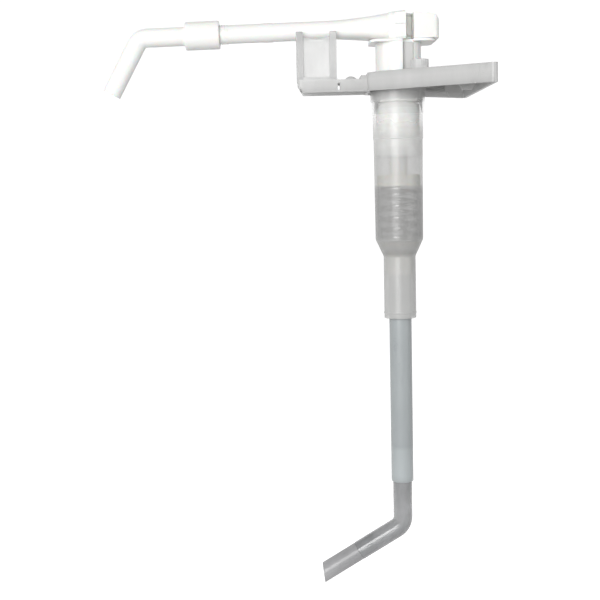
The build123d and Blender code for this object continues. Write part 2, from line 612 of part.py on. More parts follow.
def make_spout_arm():
    """Spout tube that flares into a clip-on block, with snap tabs, a band and fine rings."""
    tube = cross_rod(SPOUT_R, SPOUT_END, FLARE_START + CUT_OVER)
    tube += cross_rod(SPOUT_R + BAND_PROUD, BAND_X, BAND_X - BAND_LENGTH)
    for step in range(RING_COUNT):
        start = COLLAR_START + RING_PITCH * (step + 0.5)
        tube += cross_rod(SPOUT_R + RING_PROUD, start, start + RING_WIDTH)
    groove_half = NOZZLE_SEAL_R + PUSH_FIT
    groove = cross_rod(SPOUT_R + CUT_OVER, NOZZLE_SEAL_X - groove_half, NOZZLE_SEAL_X + groove_half)
    tube -= groove - cross_rod(SPOUT_R - 2 * NOZZLE_SEAL_R, SPOUT_END, 0)
    body = SPOUT_TILT * tube
    block_height = ARM_TOP_LEFT - FLANGE_TOP
    small = Plane(origin=(FLARE_START, 0, SPOUT_Z), x_dir=(0, 1, 0), z_dir=(1, 0, 0))
    small = SPOUT_TILT * (small * Circle(SPOUT_R))
    block_middle = FLANGE_TOP + block_height / 2
    large = Plane(origin=(ARM_BLOCK_LEFT, 0, block_middle), x_dir=(0, 1, 0), z_dir=(1, 0, 0))
    large = large * RectangleRounded(2 * ARM_BLOCK_HALF, block_height, block_height * FLARE_ROUNDNESS)
    body += loft([small.face(), large.face()])
    block = make_face(Polyline(
        (ARM_BLOCK_LEFT, 0, FLANGE_TOP),
        (ARM_BLOCK_RIGHT, 0, FLANGE_TOP),
        (ARM_BLOCK_RIGHT, 0, ARM_TOP_RIGHT),
        (ARM_BLOCK_LEFT, 0, ARM_TOP_LEFT),
        close=True,
    ))
    block = extrude(block, ARM_BLOCK_HALF, both=True)
    body += fillet(block.edges().filter_by(Axis.X, tolerance=10).group_by(Axis.Z)[-1], HEAD_CORNER_R)
    tab_along = (TAB_LEFT, ARM_BLOCK_RIGHT)
    tab_half = ARM_BLOCK_HALF + TAB_PROUD
    for heights in (TAB_UPPER, TAB_LOWER):
        tab = slab(tab_along, (-tab_half, tab_half), heights)
        body += tab - slab(tab_along, (-SPIGOT_R, SPIGOT_R), heights)
    body -= rod(SPIGOT_BORE_R, FLANGE_TOP - CUT_OVER, ARM_TOP_RIGHT + CUT_OVER, COLUMN_X)
    body -= SPOUT_TILT * cross_rod(SPOUT_BORE_R, SPOUT_END - CUT_OVER, 0)
    return body


def make_press_block():
    """Block on the flange's right side, hollowed to clear the spigot and the pegs."""
    bottom = FLANGE_TOP + BLOCK_BOTTOM_GAP
    outline = make_face(Polyline(
        (SLOT_RIGHT, 0, bottom),
        (BLOCK_RIGHT, 0, bottom),
        (BLOCK_RIGHT, 0, BLOCK_TOP_RIGHT - BLOCK_CHAMFER_DROP),
        (BLOCK_RIGHT - BLOCK_CHAMFER_RUN, 0, BLOCK_TOP_RIGHT),
        (SLOT_RIGHT, 0, BLOCK_TOP_LEFT),
        close=True,
    ))
    body = extrude(outline, BLOCK_HALF, both=True)
    body = fillet(body.edges().filter_by(Axis.Z).group_by(Axis.X)[-1], HEAD_CORNER_R)
    body -= rod(SPIGOT_BORE_R, 0, 2 * SPIGOT_TOP, COLUMN_X)
    peg_top = FLANGE_TOP - PEG_SINK + PEG_LENGTH
    for side in (-1, 1):
        body -= rod(PEG_R + PUSH_FIT, 0, peg_top + PUSH_FIT, PEG_X, side * PEG_Y)
    return body


def make_block_pegs():
    """Two pegs between the press block and the column's flange."""
    low = FLANGE_TOP - PEG_SINK + PUSH_FIT
    pegs = [rod(PEG_R, low, low + PEG_LENGTH - PUSH_FIT, PEG_X, side * PEG_Y) for side in (-1, 1)]
    return Compound(children=pegs)


def bent_tube(radius, points, bend_r):
    """Round bar along two straight legs joined by one arc."""
    path = FilletPolyline(*points, radius=bend_r)
    start = Plane(origin=path @ 0, z_dir=path % 0)
    return sweep(start * Circle(radius), path)


def nozzle_path(extra):
    """Corner points of the nozzle's centre line, run past both ends by a given length."""
    angle = math.radians(NOZZLE_DOWN - SPOUT_FALL)
    leg = NOZZLE_LEG + extra
    end = (NOZZLE_BEND_X - leg * math.cos(angle), 0, SPOUT_Z - leg * math.sin(angle))
    return [(COLLAR_END + LID_WALL + extra, 0, SPOUT_Z), (NOZZLE_BEND_X, 0, SPOUT_Z), end]


def make_nozzle():
    """Bent end tube with a thick collar that turns on the spout's end."""
    body = bent_tube(NOZZLE_R, nozzle_path(0), NOZZLE_BEND_R)
    collar = cross_rod(COLLAR_R, COLLAR_START, COLLAR_END)
    body += chamfer(collar.edges().filter_by(GeomType.CIRCLE), COLLAR_CHAMFER)
    body -= cross_rod(SPOUT_R + RUN_FIT, COLLAR_START + CUT_OVER, SPOUT_END - PUSH_FIT)
    body -= bent_tube(NOZZLE_BORE_R, nozzle_path(CUT_OVER), NOZZLE_BEND_R)
    notch = slab((COLLAR_START - NOTCH_DEPTH, COLLAR_START + CUT_OVER), (-NOTCH_WIDTH / 2, NOTCH_WIDTH / 2),
                 (0, COLLAR_R + CUT_OVER))
    for angle in (90, 270):
        body -= Pos(0, 0, SPOUT_Z) * Rot(angle, 0, 0) * notch
    return SPOUT_TILT * body


def make_nozzle_oring():
    """Ring in the groove of the spout's end."""
    ring_solid = Torus(SPOUT_R - NOZZLE_SEAL_R + RUN_FIT / 2, NOZZLE_SEAL_R)
    return SPOUT_TILT * (Pos(NOZZLE_SEAL_X, 0, SPOUT_Z) * Rot(0, 90, 0) * ring_solid)


def make_dip_tube():
    """Straight tube from the barrel's socket down to the elbow."""
    return ring(DIP_R, DIP_R - DIP_WALL, DIP_BOTTOM, VALVE_FLOOR - PUSH_FIT)


def slope_point(distance):
    """Place on the foot's sloping centre line, measured from the bend's corner."""
    angle = math.radians(ELBOW_SLOPE)
    return (-distance * math.cos(angle), 0, ELBOW_BEND_Z - distance * math.sin(angle))


def make_elbow():
    """Clear tube pushed up into the dip tube, bent towards the container's corner."""
    top = (0, 0, ELBOW_TOP)
    corner = (0, 0, ELBOW_BEND_Z)
    body = bent_tube(ELBOW_R, [top, corner, slope_point(ELBOW_LEG)], ELBOW_BEND_R)
    over = (0, 0, ELBOW_TOP + CUT_OVER)
    bore_points = [over, corner, slope_point(ELBOW_LEG + CUT_OVER)]
    return body - bent_tube(ELBOW_R - ELBOW_WALL, bore_points, ELBOW_BEND_R)


def sloping_rod(radius, start, end):
    """Cylinder along the foot's sloping line."""
    base = Plane(origin=slope_point(start), z_dir=Vector(*slope_point(end)) - Vector(*slope_point(start)))
    return base * Cylinder(radius, end - start, align=(Align.CENTER, Align.CENTER, Align.MIN))


def make_tip():
    """Frosted end tube on the elbow: a spigot inside it, then the open end cut at a slant."""
    spigot_r = ELBOW_R - ELBOW_WALL - PUSH_FIT
    body = sloping_rod(spigot_r, ELBOW_LEG - TIP_OVERLAP, ELBOW_LEG + CUT_OVER)
    body += sloping_rod(TIP_R, ELBOW_LEG, TIP_REACH + 2 * TIP_R)
    body -= sloping_rod(spigot_r - TIP_WALL, 0, TIP_REACH + 3 * TIP_R)
    side = 8 * TIP_R
    cutter = Box(side, side, side, align=(Align.CENTER, Align.CENTER, Align.MIN))
    slant = Pos(*slope_point(TIP_REACH)) * Rot(0, -90 - ELBOW_SLOPE + TIP_CUT_TILT, 0)
    return body - slant * cutter


def main():
    """Builds every piece and writes one STEP file for each."""
    os.makedirs("parts", exist_ok=True)
    inlet_seat, inlet_ball, inlet_cage = make_inlet_valve()
    outlet_seat, outlet_ball, outlet_cage = make_outlet_valve()
    pieces = {
        "lid": make_lid(),
        "spout_guide": make_spout_guide(),
        "vent_plug": make_vent_plug(),
        "pump_barrel": make_barrel(),
        "barrel_gasket": make_gasket(),
        "stem_guide": make_stem_guide(),
        "stem_wiper": make_stem_wiper(),
        "plunger_stem": make_stem(),
        "piston": make_piston(),
        "piston_seal": make_piston_seal(),
        "return_spring": make_spring(),
        "spring_seat": make_spring_seat(),
        "inlet_valve_seat": inlet_seat,
        "inlet_ball": inlet_ball,
        "inlet_ball_cage": inlet_cage,
        "outlet_valve_seat": outlet_seat,
        "outlet_ball": outlet_ball,
        "outlet_ball_cage": outlet_cage,
        "head_column": make_column(),
        "head_orings": make_head_orings(),
        "spout_arm": make_spout_arm(),
        "press_block": make_press_block(),
        "block_pegs": make_block_pegs(),
        "nozzle": make_nozzle(),
        "nozzle_oring": make_nozzle_oring(),
        "dip_tube": make_dip_tube(),
        "suction_elbow": make_elbow(),
        "suction_tip": make_tip(),
    }
    for name, solid in pieces.items():
        solid.label = name
        export_step(solid, f"parts/{name}.step")


if __name__ == "__main__":
    main()
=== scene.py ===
"""Looks of a condiment pump dispenser, built around its fixed CAD frame."""

import logging
import math
from dataclasses import dataclass, field
from enum import Enum
from typing import Any, Callable, Sequence

import bmesh
import bpy
import numpy as np
from mathutils import Matrix, Vector


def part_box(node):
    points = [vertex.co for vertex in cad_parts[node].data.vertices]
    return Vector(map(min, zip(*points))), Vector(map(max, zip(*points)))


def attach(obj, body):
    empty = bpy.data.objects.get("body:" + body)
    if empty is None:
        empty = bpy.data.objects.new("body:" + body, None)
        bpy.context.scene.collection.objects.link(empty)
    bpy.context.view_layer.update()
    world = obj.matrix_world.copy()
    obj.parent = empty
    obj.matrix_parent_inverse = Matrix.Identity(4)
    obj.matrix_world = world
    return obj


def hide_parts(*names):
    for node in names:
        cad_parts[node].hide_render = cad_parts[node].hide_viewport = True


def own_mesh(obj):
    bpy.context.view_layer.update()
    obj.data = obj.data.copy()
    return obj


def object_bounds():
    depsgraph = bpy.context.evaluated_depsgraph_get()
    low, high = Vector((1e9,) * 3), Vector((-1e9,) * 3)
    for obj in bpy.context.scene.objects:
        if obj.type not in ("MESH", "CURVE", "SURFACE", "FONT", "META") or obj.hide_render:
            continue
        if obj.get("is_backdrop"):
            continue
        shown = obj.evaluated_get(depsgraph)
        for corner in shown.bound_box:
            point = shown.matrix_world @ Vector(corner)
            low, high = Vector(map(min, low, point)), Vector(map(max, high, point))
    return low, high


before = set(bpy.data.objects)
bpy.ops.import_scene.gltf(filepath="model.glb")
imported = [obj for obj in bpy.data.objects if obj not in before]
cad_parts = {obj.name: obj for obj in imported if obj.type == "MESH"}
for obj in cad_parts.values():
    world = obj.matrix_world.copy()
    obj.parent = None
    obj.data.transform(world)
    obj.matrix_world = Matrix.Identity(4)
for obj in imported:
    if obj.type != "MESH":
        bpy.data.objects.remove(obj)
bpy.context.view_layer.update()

LOG = logging.getLogger("pump")
MM = 0.001
FULL_TURN = 2.0 * math.pi
IMAGE_SIDE = 600
CLOUD_DETAIL = 3.0
FLOW_DETAIL = 4.0
PLASTIC_IOR = 1.49
CORNER_SHARE = 0.45      # most of a side that one rounded corner may take
ARC_POINTS = 33
LATHE_FOOT, LATHE_HEAD = -400.0, 100.0
SAME_POINT = 1e-7        # metres between points of a new mesh that count as one
SAME_CAD_POINT = 1e-6
FLAT_DEGREES = 0.6


# --- shader expressions ---


class Value:
    """A shader socket that takes part in Python arithmetic."""

    def __init__(self, graph: "Graph", socket: Any) -> None:
        """Wraps an output socket of a graph's node."""
        self.graph = graph
        self.socket = socket

    def _math(self, operation: str, other: Any, swap: bool = False) -> "Value":
        """Adds one Math node.

        Args:
            operation: the Math node's operation.
            other: a number or another Value.
            swap: whether the other operand comes first.

        Returns:
            The node's output.
        """
        pair = (other, self) if swap else (self, other)
        return self.graph.node("ShaderNodeMath", {"operation": operation}, {0: pair[0], 1: pair[1]})

    def __add__(self, other: Any) -> "Value":
        """Sum."""
        return self._math("ADD", other)

    __radd__ = __add__

    def __sub__(self, other: Any) -> "Value":
        """Difference."""
        return self._math("SUBTRACT", other)

    def __rsub__(self, other: Any) -> "Value":
        """Difference with this value taken away."""
        return self._math("SUBTRACT", other, swap=True)

    def __mul__(self, other: Any) -> "Value":
        """Product."""
        return self._math("MULTIPLY", other)

    __rmul__ = __mul__

    def clamped(self) -> "Value":
        """This value kept between 0 and 1."""
        settings = {"operation": "ADD", "use_clamp": True}
        return self.graph.node("ShaderNodeMath", settings, {0: self, 1: 0.0})


class Graph:
    """Node tree of one material or world, with its shader."""

    def __init__(self, name: str, owners: Any = None, shader: str = "Principled BSDF") -> None:
        """Makes an owner that has only its default shader and an output.

        Args:
            name: the owner's name.
            owners: the collection that the owner is made in; the materials when left out.
            shader: name of the default shader node.
        """
        self.owner = (bpy.data.materials if owners is None else owners).new(name)
        self.owner.use_nodes = True
        self.tree = self.owner.node_tree
        self.shader = self.tree.nodes[shader]

    def node(self, kind: str, settings: dict[str, Any] | None = None, sockets: dict[Any, Any] | None = None,
             output: Any = 0) -> Value:
        """Adds a node.

        Args:
            kind: the node's type.
            settings: properties that are set before the sockets; "stops" fills a colour ramp.
            sockets: input socket to number, colour or Value.
            output: the output socket to give back.

        Returns:
            The chosen output.
        """
        made = self.tree.nodes.new(kind)
        for key, value in (settings or {}).items():
            if key == "stops":
                self._fill_ramp(made, value)
            else:
                setattr(made, key, value)
        for key, value in (sockets or {}).items():
            self.feed(made.inputs[key], value)
        return Value(self, made.outputs[output])

    @staticmethod
    def _fill_ramp(ramp: Any, stops: Sequence[tuple[float, float]]) -> None:
        """Sets a colour ramp's stops.

        Args:
            ramp: the ramp's node.
            stops: (place, grey level) pairs.
        """
        elements = ramp.color_ramp.elements
        while len(elements) < len(stops):
            elements.new(1.0)
        for element, (place, level) in zip(elements, stops):
            element.position = place
            element.color = (level, level, level, 1.0)

    def feed(self, socket: Any, value: Any) -> None:
        """Links a Value to a socket, or sets the socket's own value.

        Args:
            socket: the input socket.
            value: a number, a colour or a Value.
        """
        if isinstance(value, Value):
            self.tree.links.new(value.socket, socket)
        else:
            socket.default_value = value

    def set(self, **sockets: Any) -> None:
        """Feeds the shader's sockets; an underscore in a key stands for a space."""
        for key, value in sockets.items():
            self.feed(self.shader.inputs[key.replace("_", " ")], value)

    def place(self) -> Value:
        """Object coordinates, which lie still on a piece."""
        return self.node("ShaderNodeTexCoord", output="Object")

    def noise(self, scale: float, detail: float = 2.0, place: Value | None = None) -> Value:
        """Soft noise between 0 and 1, with about one blob for every 1/scale metres."""
        sockets = {"Vector": place or self.place(), "Scale": scale, "Detail": detail}
        return self.node("ShaderNodeTexNoise", {}, sockets, "Fac")

    def stretched(self, factors: Sequence[float]) -> Value:
        """Object coordinates scaled along each axis."""
        return self.node("ShaderNodeMapping", {}, {"Vector": self.place(), "Scale": tuple(factors)})

    def blend(self, factor: Any, first: Sequence[float], second: Sequence[float]) -> Value:
        """Mixes two colours by a factor."""
        sockets = {0: factor, 6: (*first, 1.0), 7: (*second, 1.0)}
        return self.node("ShaderNodeMix", {"data_type": "RGBA"}, sockets, 2)

    def bump(self, depth: float, coarse: Value, fine: Value | None = None, share: float = 1.0) -> None:
        """Raises the surface by one height pattern, or by two mixed.

        Args:
            depth: height of the pattern, in metres.
            coarse: the first pattern.
            fine: the second pattern.
            share: the first pattern's part of the whole.
        """
        height = coarse if fine is None else coarse * share + fine * (1.0 - share)
        sockets = {"Height": height, "Distance": depth, "Strength": 1.0}
        self.set(Normal=self.node("ShaderNodeBump", {}, sockets, "Normal"))


# --- finishes ---


@dataclass(frozen=True)
class WhiteMoulding:
    """Softly glossy opaque moulding with a faint ripple left by the tool."""

    name: str
    colour: tuple[float, float, float]
    shade: tuple[float, float, float]
    roughness: float = 0.3
    ripple: float = 0.00002
    cloud_scale: float = 38.0
    grain_scale: float = 2600.0
    cloud_gloss: float = 0.16
    grain_gloss: float = 0.06
    glow: float = 0.25
    glow_depth: float = 0.002
    cloud_share: float = 0.7

    def build(self) -> bpy.types.Material:
        """Makes the material."""
        graph = Graph(self.name)
        cloud = graph.noise(self.cloud_scale, CLOUD_DETAIL)
        grain = graph.noise(self.grain_scale)
        graph.set(
            Base_Color=graph.blend(cloud, self.shade, self.colour),
            Roughness=self.roughness + (cloud - 0.5) * self.cloud_gloss + (grain - 0.5) * self.grain_gloss,
            Subsurface_Weight=self.glow,
            Subsurface_Scale=self.glow_depth,
            IOR=PLASTIC_IOR,
        )
        graph.bump(self.ripple, cloud, grain, self.cloud_share)
        return graph.owner


@dataclass(frozen=True)
class MilkyMoulding:
    """Translucent natural plastic: cloudy, with flow streaks that let more or less light through."""

    name: str
    thin: tuple[float, float, float]
    thick: tuple[float, float, float]
    alpha: float
    cloudiness: float = 0.12
    roughness: float = 0.35
    streak: tuple[float, float, float] = (1.0, 1.0, 0.35)
    streak_scale: float = 70.0
    ripple: float = 0.00003
    cloud_scale: float = 24.0
    grain_scale: float = 1800.0
    flow_gloss: float = 0.2
    grain_gloss: float = 0.08
    flow_share: float = 0.6
    contrast: float = 4.0

    def build(self) -> bpy.types.Material:
        """Makes the material."""
        graph = Graph(self.name)
        flow = graph.noise(self.streak_scale, FLOW_DETAIL, graph.stretched(self.streak))
        cloud = graph.noise(self.cloud_scale)
        grain = graph.noise(self.grain_scale)
        mixed = (flow * self.flow_share + cloud * (1.0 - self.flow_share)).clamped()
        graph.set(
            Base_Color=graph.blend(mixed, self.thin, self.thick),
            Roughness=self.roughness + (flow - 0.5) * self.flow_gloss + (grain - 0.5) * self.grain_gloss,
            Alpha=(self.alpha + (mixed - 0.5) * (self.contrast * self.cloudiness)).clamped(),
            IOR=PLASTIC_IOR,
        )
        graph.bump(self.ripple, flow, grain, self.flow_share)
        return graph.owner


@dataclass(frozen=True)
class BandedMoulding:
    """Translucent plastic whose shade and clearness change in listed bands along one direction: partly the wall's
    thickness, partly painted light and shade, brighter and darker zones that stand for how the wall and what lies
    behind it are lit.
    """

    name: str
    tint: tuple[float, float, float]
    bands: tuple[tuple[float, float, float], ...]
    cloudiness: float = 0.1
    mottle: float = 0.1
    roughness: float = 0.3
    streak: tuple[float, float, float] = (1.0, 1.0, 0.25)
    streak_scale: float = 120.0
    ripple: float = 0.00003
    coat: float = 0.0
    bore_share: float = 1.0
    along: str = "Z"
    cloud_scale: float = 30.0
    grain_scale: float = 1800.0
    flow_gloss: float = 0.15
    grain_gloss: float = 0.06
    relief_share: float = 0.6
    contrast: float = 2.0
    coat_roughness: float = 0.08

    def build(self) -> bpy.types.Material:
        """Makes the material from (place in mm, shade, alpha) bands, with less alpha on a marked bore."""
        graph = Graph(self.name)
        heights = np.array([band[0] for band in self.bands]) * MM
        low, high = heights[0] - MM, heights[-1] + MM
        places = (heights - low) / (high - low)
        axis = graph.node("ShaderNodeSeparateXYZ", {}, {"Vector": graph.place()}, self.along)
        share = graph.node("ShaderNodeMapRange", {}, {"Value": axis, "From Min": low, "From Max": high}, "Result")
        ramps = []
        for column in (1, 2):
            stops = [(float(place), band[column]) for place, band in zip(places, self.bands)]
            ramps.append(graph.node("ShaderNodeValToRGB", {"stops": stops}, {"Fac": share}, "Color"))
        flow = graph.noise(self.streak_scale, FLOW_DETAIL, graph.stretched(self.streak))
        cloud = graph.noise(self.cloud_scale, CLOUD_DETAIL)
        grain = graph.noise(self.grain_scale)
        mixed = flow * 0.5 + cloud * 0.5 - 0.5
        alpha = (ramps[1] + mixed * (self.contrast * self.cloudiness)).clamped()
        if self.bore_share < 1.0:
            outside = graph.node("ShaderNodeAttribute", {"attribute_name": "outside"}, {}, "Fac")
            alpha = alpha * (self.bore_share + outside * (1.0 - self.bore_share))
        # painted light and shade: the bands' grey level, spotted by the mottle noise, becomes the base colour
        shade = (ramps[0] * (1.0 + mixed * self.mottle)).clamped()
        graph.set(
            Base_Color=graph.blend(shade, (0.0, 0.0, 0.0), self.tint),
            Roughness=self.roughness + (flow - 0.5) * self.flow_gloss + (grain - 0.5) * self.grain_gloss,
            Alpha=alpha,
            Coat_Weight=self.coat,
            Coat_Roughness=self.coat_roughness,
            IOR=PLASTIC_IOR,
        )
        graph.bump(self.ripple, flow, grain, self.relief_share)
        return graph.owner


@dataclass(frozen=True)
class DrawnSteel:
    """Stainless wire or a polished ball, with fine drawing marks."""

    name: str
    colour: tuple[float, float, float]
    roughness: float
    mark_scale: float = 900.0
    darkening: float = 0.8
    mark_gloss: float = 0.1
    mark_depth: float = 0.00001

    def build(self) -> bpy.types.Material:
        """Makes the material."""
        graph = Graph(self.name)
        marks = graph.noise(self.mark_scale, CLOUD_DETAIL)
        dark = tuple(channel * self.darkening for channel in self.colour)
        graph.set(
            Base_Color=graph.blend(marks, dark, self.colour),
            Metallic=1.0,
            Roughness=self.roughness + (marks - 0.5) * self.mark_gloss,
        )
        graph.bump(self.mark_depth, marks)
        return graph.owner


@dataclass(frozen=True)
class SoftSeal:
    """Food-grade silicone: matt, a little waxy."""

    name: str
    colour: tuple[float, float, float]
    roughness: float = 0.55
    grain_scale: float = 1500.0
    darkening: float = 0.9
    grain_gloss: float = 0.2
    grain_depth: float = 0.00002

    def build(self) -> bpy.types.Material:
        """Makes the material."""
        graph = Graph(self.name)
        grain = graph.noise(self.grain_scale, CLOUD_DETAIL)
        dark = tuple(channel * self.darkening for channel in self.colour)
        graph.set(Base_Color=graph.blend(grain, dark, self.colour),
                  Roughness=self.roughness + (grain - 0.5) * self.grain_gloss)
        graph.bump(self.grain_depth, grain)
        return graph.owner


class Finishes(Enum):
    """Every finish of the pump, each made once and shared by its pieces."""

    WHITE = WhiteMoulding("white_moulding", (0.86, 0.86, 0.84), (0.82, 0.82, 0.80))
    CREAM = WhiteMoulding("cream_moulding", (0.86, 0.82, 0.72), (0.80, 0.76, 0.66), roughness=0.42)
    # painted light and shade: the neck below -6.5 mm is near white to make up for the lid's cast shadow, with a
    # darker painted band at about -4 mm
    LID = BandedMoulding(
        "lid_moulding", (1.0, 1.0, 0.99),
        ((-14.0, 0.98, 0.10), (-6.5, 0.96, 0.14), (-4.0, 0.66, 0.42), (0.0, 0.53, 0.62), (3.5, 0.565, 0.74),
         (7.0, 0.61, 0.74), (11.0, 0.525, 0.78)),
    )
    # painted shade along X: the left post is darker than the right one, as light falls on them, and the web between
    # is lighter and clearer
    GUIDE = BandedMoulding(
        "guide_moulding", (1.0, 1.0, 0.995),
        ((-62.0, 0.49, 0.50), (-58.2, 0.50, 0.46), (-57.0, 0.76, 0.36), (-42.4, 0.76, 0.36), (-41.2, 0.61, 0.44),
         (-37.0, 0.60, 0.48)),
        cloudiness=0.2, mottle=0.5, streak=(1.0, 1.0, 0.5), streak_scale=75.0, along="X",
    )
    VENT = MilkyMoulding("vent_moulding", (0.56, 0.56, 0.56), (0.72, 0.72, 0.715), 0.6)
    # painted shade: dark grey that stands for the shade seen through the neck at both sides
    LUG = MilkyMoulding("lug_painted_shade", (0.34, 0.34, 0.34), (0.46, 0.46, 0.455), 0.5)
    # painted shade: a mid grey that stands for the shade deep in the head's slot
    SLOT = MilkyMoulding("slot_shade_strip", (0.46, 0.46, 0.455), (0.60, 0.60, 0.59), 0.95, streak=(1.0, 1.0, 0.2))
    # partly the wall's thickness, partly painted light and shade: pale round the stem, dark round the spring, fixed
    # in place when the head is pressed
    BARREL = BandedMoulding(
        "barrel_moulding", (1.0, 1.0, 0.985),
        ((-139.5, 0.46, 0.75), (-137.0, 0.52, 0.75), (-118.0, 0.51, 0.75), (-101.5, 0.47, 0.75),
         (-99.0, 0.34, 0.75), (-92.0, 0.42, 0.74), (-88.0, 0.335, 0.74), (-60.0, 0.34, 0.68), (-57.8, 0.36, 0.64),
         (-56.6, 0.52, 0.52), (-50.0, 0.49, 0.50), (-40.0, 0.50, 0.52), (-38.0, 0.60, 0.66), (-33.0, 0.66, 0.70),
         (-24.0, 0.70, 0.56), (-20.0, 0.70, 0.36), (-14.5, 0.72, 0.26), (-13.0, 0.92, 0.20)),
        bore_share=0.15,
    )
    # painted light: a lighter band from -240 to -224 mm, where the elbow sits inside the tube
    DIP = BandedMoulding(
        "dip_tube_plastic", (0.91, 0.98, 1.0),
        ((-245.0, 0.41, 0.85), (-240.0, 0.50, 0.8), (-224.0, 0.48, 0.8), (-221.0, 0.385, 0.85), (-130.0, 0.40, 0.85)),
        mottle=0.16, bore_share=0.3,
    )
    # painted light and shade by height: darkest at -279 mm over the tip's spigot, lighter round the bend
    CLEAR = BandedMoulding(
        "clear_tube", (0.96, 0.98, 1.0),
        ((-295.0, 0.30, 0.80), (-285.0, 0.27, 0.78), (-279.0, 0.22, 0.76), (-264.0, 0.31, 0.7), (-245.0, 0.24, 0.84)),
        mottle=1.1, roughness=0.12, streak=(1.0, 1.0, 0.4), streak_scale=170.0, coat=0.6, ripple=0.0002,
        bore_share=0.2,
    )
    FROSTED = BandedMoulding(
        "frosted_tube", (0.98, 0.98, 1.0), ((-312.0, 0.40, 0.82), (-290.0, 0.33, 0.82)),
        mottle=0.7, roughness=0.3, streak_scale=130.0, ripple=0.00012, bore_share=0.3,
    )
    STEEL = DrawnSteel("drawn_steel", (0.74, 0.74, 0.73), 0.26)
    BALL = DrawnSteel("polished_ball", (0.7, 0.7, 0.7), 0.1)
    SEAL = SoftSeal("white_silicone", (0.80, 0.79, 0.76))

    def material(self) -> bpy.types.Material:
        """The finish's material, built at its first use."""
        found = bpy.data.materials.get(self.value.name)
        return found or self.value.build()


CAD_FINISHES: dict[Finishes, tuple[str, ...]] = {
    Finishes.WHITE: ("head_column", "spout_arm", "press_block", "block_pegs", "plunger_stem", "nozzle", "stem_guide"),
    Finishes.CREAM: ("piston", "spring_seat", "inlet_valve_seat", "inlet_ball_cage", "outlet_valve_seat",
                     "outlet_ball_cage"),
    Finishes.LID: ("lid",),
    Finishes.GUIDE: ("spout_guide",),
    Finishes.VENT: ("vent_plug",),
    Finishes.BARREL: ("pump_barrel",),
    Finishes.DIP: ("dip_tube",),
    Finishes.CLEAR: ("suction_elbow",),
    Finishes.FROSTED: ("suction_tip",),
    Finishes.STEEL: ("return_spring",),
    Finishes.BALL: ("inlet_ball", "outlet_ball"),
    Finishes.SEAL: ("barrel_gasket", "stem_wiper", "piston_seal", "head_orings", "nozzle_oring"),
}


def dress_cad_nodes() -> None:
    """Gives every CAD node its finish."""
    for finish, nodes in CAD_FINISHES.items():
        for name in nodes:
            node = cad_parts[name]
            node.data.materials.clear()
            node.data.materials.append(finish.material())
            LOG.info("dressed %s with %s", name, finish.value.name)


# --- surfaces ---


def softened(points: Sequence[tuple[float, float]], cut: float, steps: int = 5) -> np.ndarray:
    """Rounds the corners of a closed outline.

    Each corner P becomes the curve (1-t)^2 A + 2t(1-t) P + t^2 B, where A and B lie on its two sides, a cut
    away from P or under half of that side.

    Args:
        points: corners of the outline, in order.
        cut: distance along each side at which the curve starts.
        steps: points on each curve.

    Returns:
        The rounded outline, one row for each point.
    """
    corners = np.asarray(points, dtype=float)
    back = np.roll(corners, 1, axis=0) - corners
    ahead = np.roll(corners, -1, axis=0) - corners
    back_length = np.linalg.norm(back, axis=1, keepdims=True)
    ahead_length = np.linalg.norm(ahead, axis=1, keepdims=True)
    first = corners + back / back_length * np.minimum(cut, CORNER_SHARE * back_length)
    last = corners + ahead / ahead_length * np.minimum(cut, CORNER_SHARE * ahead_length)
    t = np.linspace(0.0, 1.0, steps)[None, :, None]
    curve = (1 - t) ** 2 * first[:, None] + 2 * t * (1 - t) * corners[:, None] + t ** 2 * last[:, None]
    return curve.reshape(-1, 2)


def divided(outline: np.ndarray, longest: float) -> np.ndarray:
    """Adds points along a closed outline so that no side is longer than a limit.

    Args:
        outline: rows of points.
        longest: the limit.

    Returns:
        The outline with its long sides divided evenly.
    """
    closed = np.vstack([outline, outline[:1]])
    sides = np.linalg.norm(np.diff(closed, axis=0), axis=1)
    parts = np.maximum(1, np.ceil(sides / longest)).astype(int)
    side = np.repeat(np.arange(parts.size), parts)
    start = np.repeat(np.cumsum(parts) - parts, parts)
    share = ((np.arange(parts.sum()) - start) / parts[side])[:, None]
    return closed[side] * (1 - share) + closed[side + 1] * share


@dataclass
class CentreLine:
    """Line in the XZ plane that a round profile follows: one straight leg, or two joined by an arc."""

    start: tuple[float, float]
    corner: tuple[float, float]
    end: tuple[float, float] | None = None
    bend: float = 8.0
    places: np.ndarray = field(init=False)
    lengths: np.ndarray = field(init=False)

    def __post_init__(self) -> None:
        """Samples the line.

        On the arc, a point is P + R (sin(a) D + (1 - cos(a)) N), with D along the first leg and N across it,
        towards the second leg.
        """
        start, corner = np.array(self.start), np.array(self.corner)
        if self.end is None:
            self.places = np.linspace(start, corner, 2)
        else:
            end = np.array(self.end)
            first = (corner - start) / np.linalg.norm(corner - start)
            second = (end - corner) / np.linalg.norm(end - corner)
            turn = math.acos(float(first @ second))
            across = second - (first @ second) * first
            across = across / np.linalg.norm(across)
            reach = self.bend * math.tan(turn / 2)
            a = np.linspace(0.0, turn, ARC_POINTS)[:, None]
            arc = corner - reach * first + self.bend * (np.sin(a) * first + (1 - np.cos(a)) * across)
            self.places = np.vstack([start, arc, end])
        steps = np.linalg.norm(np.diff(self.places, axis=0), axis=1)
        self.lengths = np.concatenate([[0.0], np.cumsum(steps)])

    @property
    def length(self) -> float:
        """Length of the whole line."""
        return float(self.lengths[-1])

    def at(self, along: np.ndarray) -> tuple[np.ndarray, np.ndarray]:
        """Finds points of the line.

        Args:
            along: distances along the line.

        Returns:
            The places and the unit directions there.
        """
        place = np.stack([np.interp(along, self.lengths, self.places[:, k]) for k in (0, 1)], axis=-1)
        middles = (self.lengths[1:] + self.lengths[:-1]) / 2
        legs = np.diff(self.places, axis=0)
        heading = np.unwrap(np.arctan2(legs[:, 1], legs[:, 0]))
        angle = np.interp(along, middles, heading)
        return place, np.stack([np.cos(angle), np.sin(angle)], axis=-1)


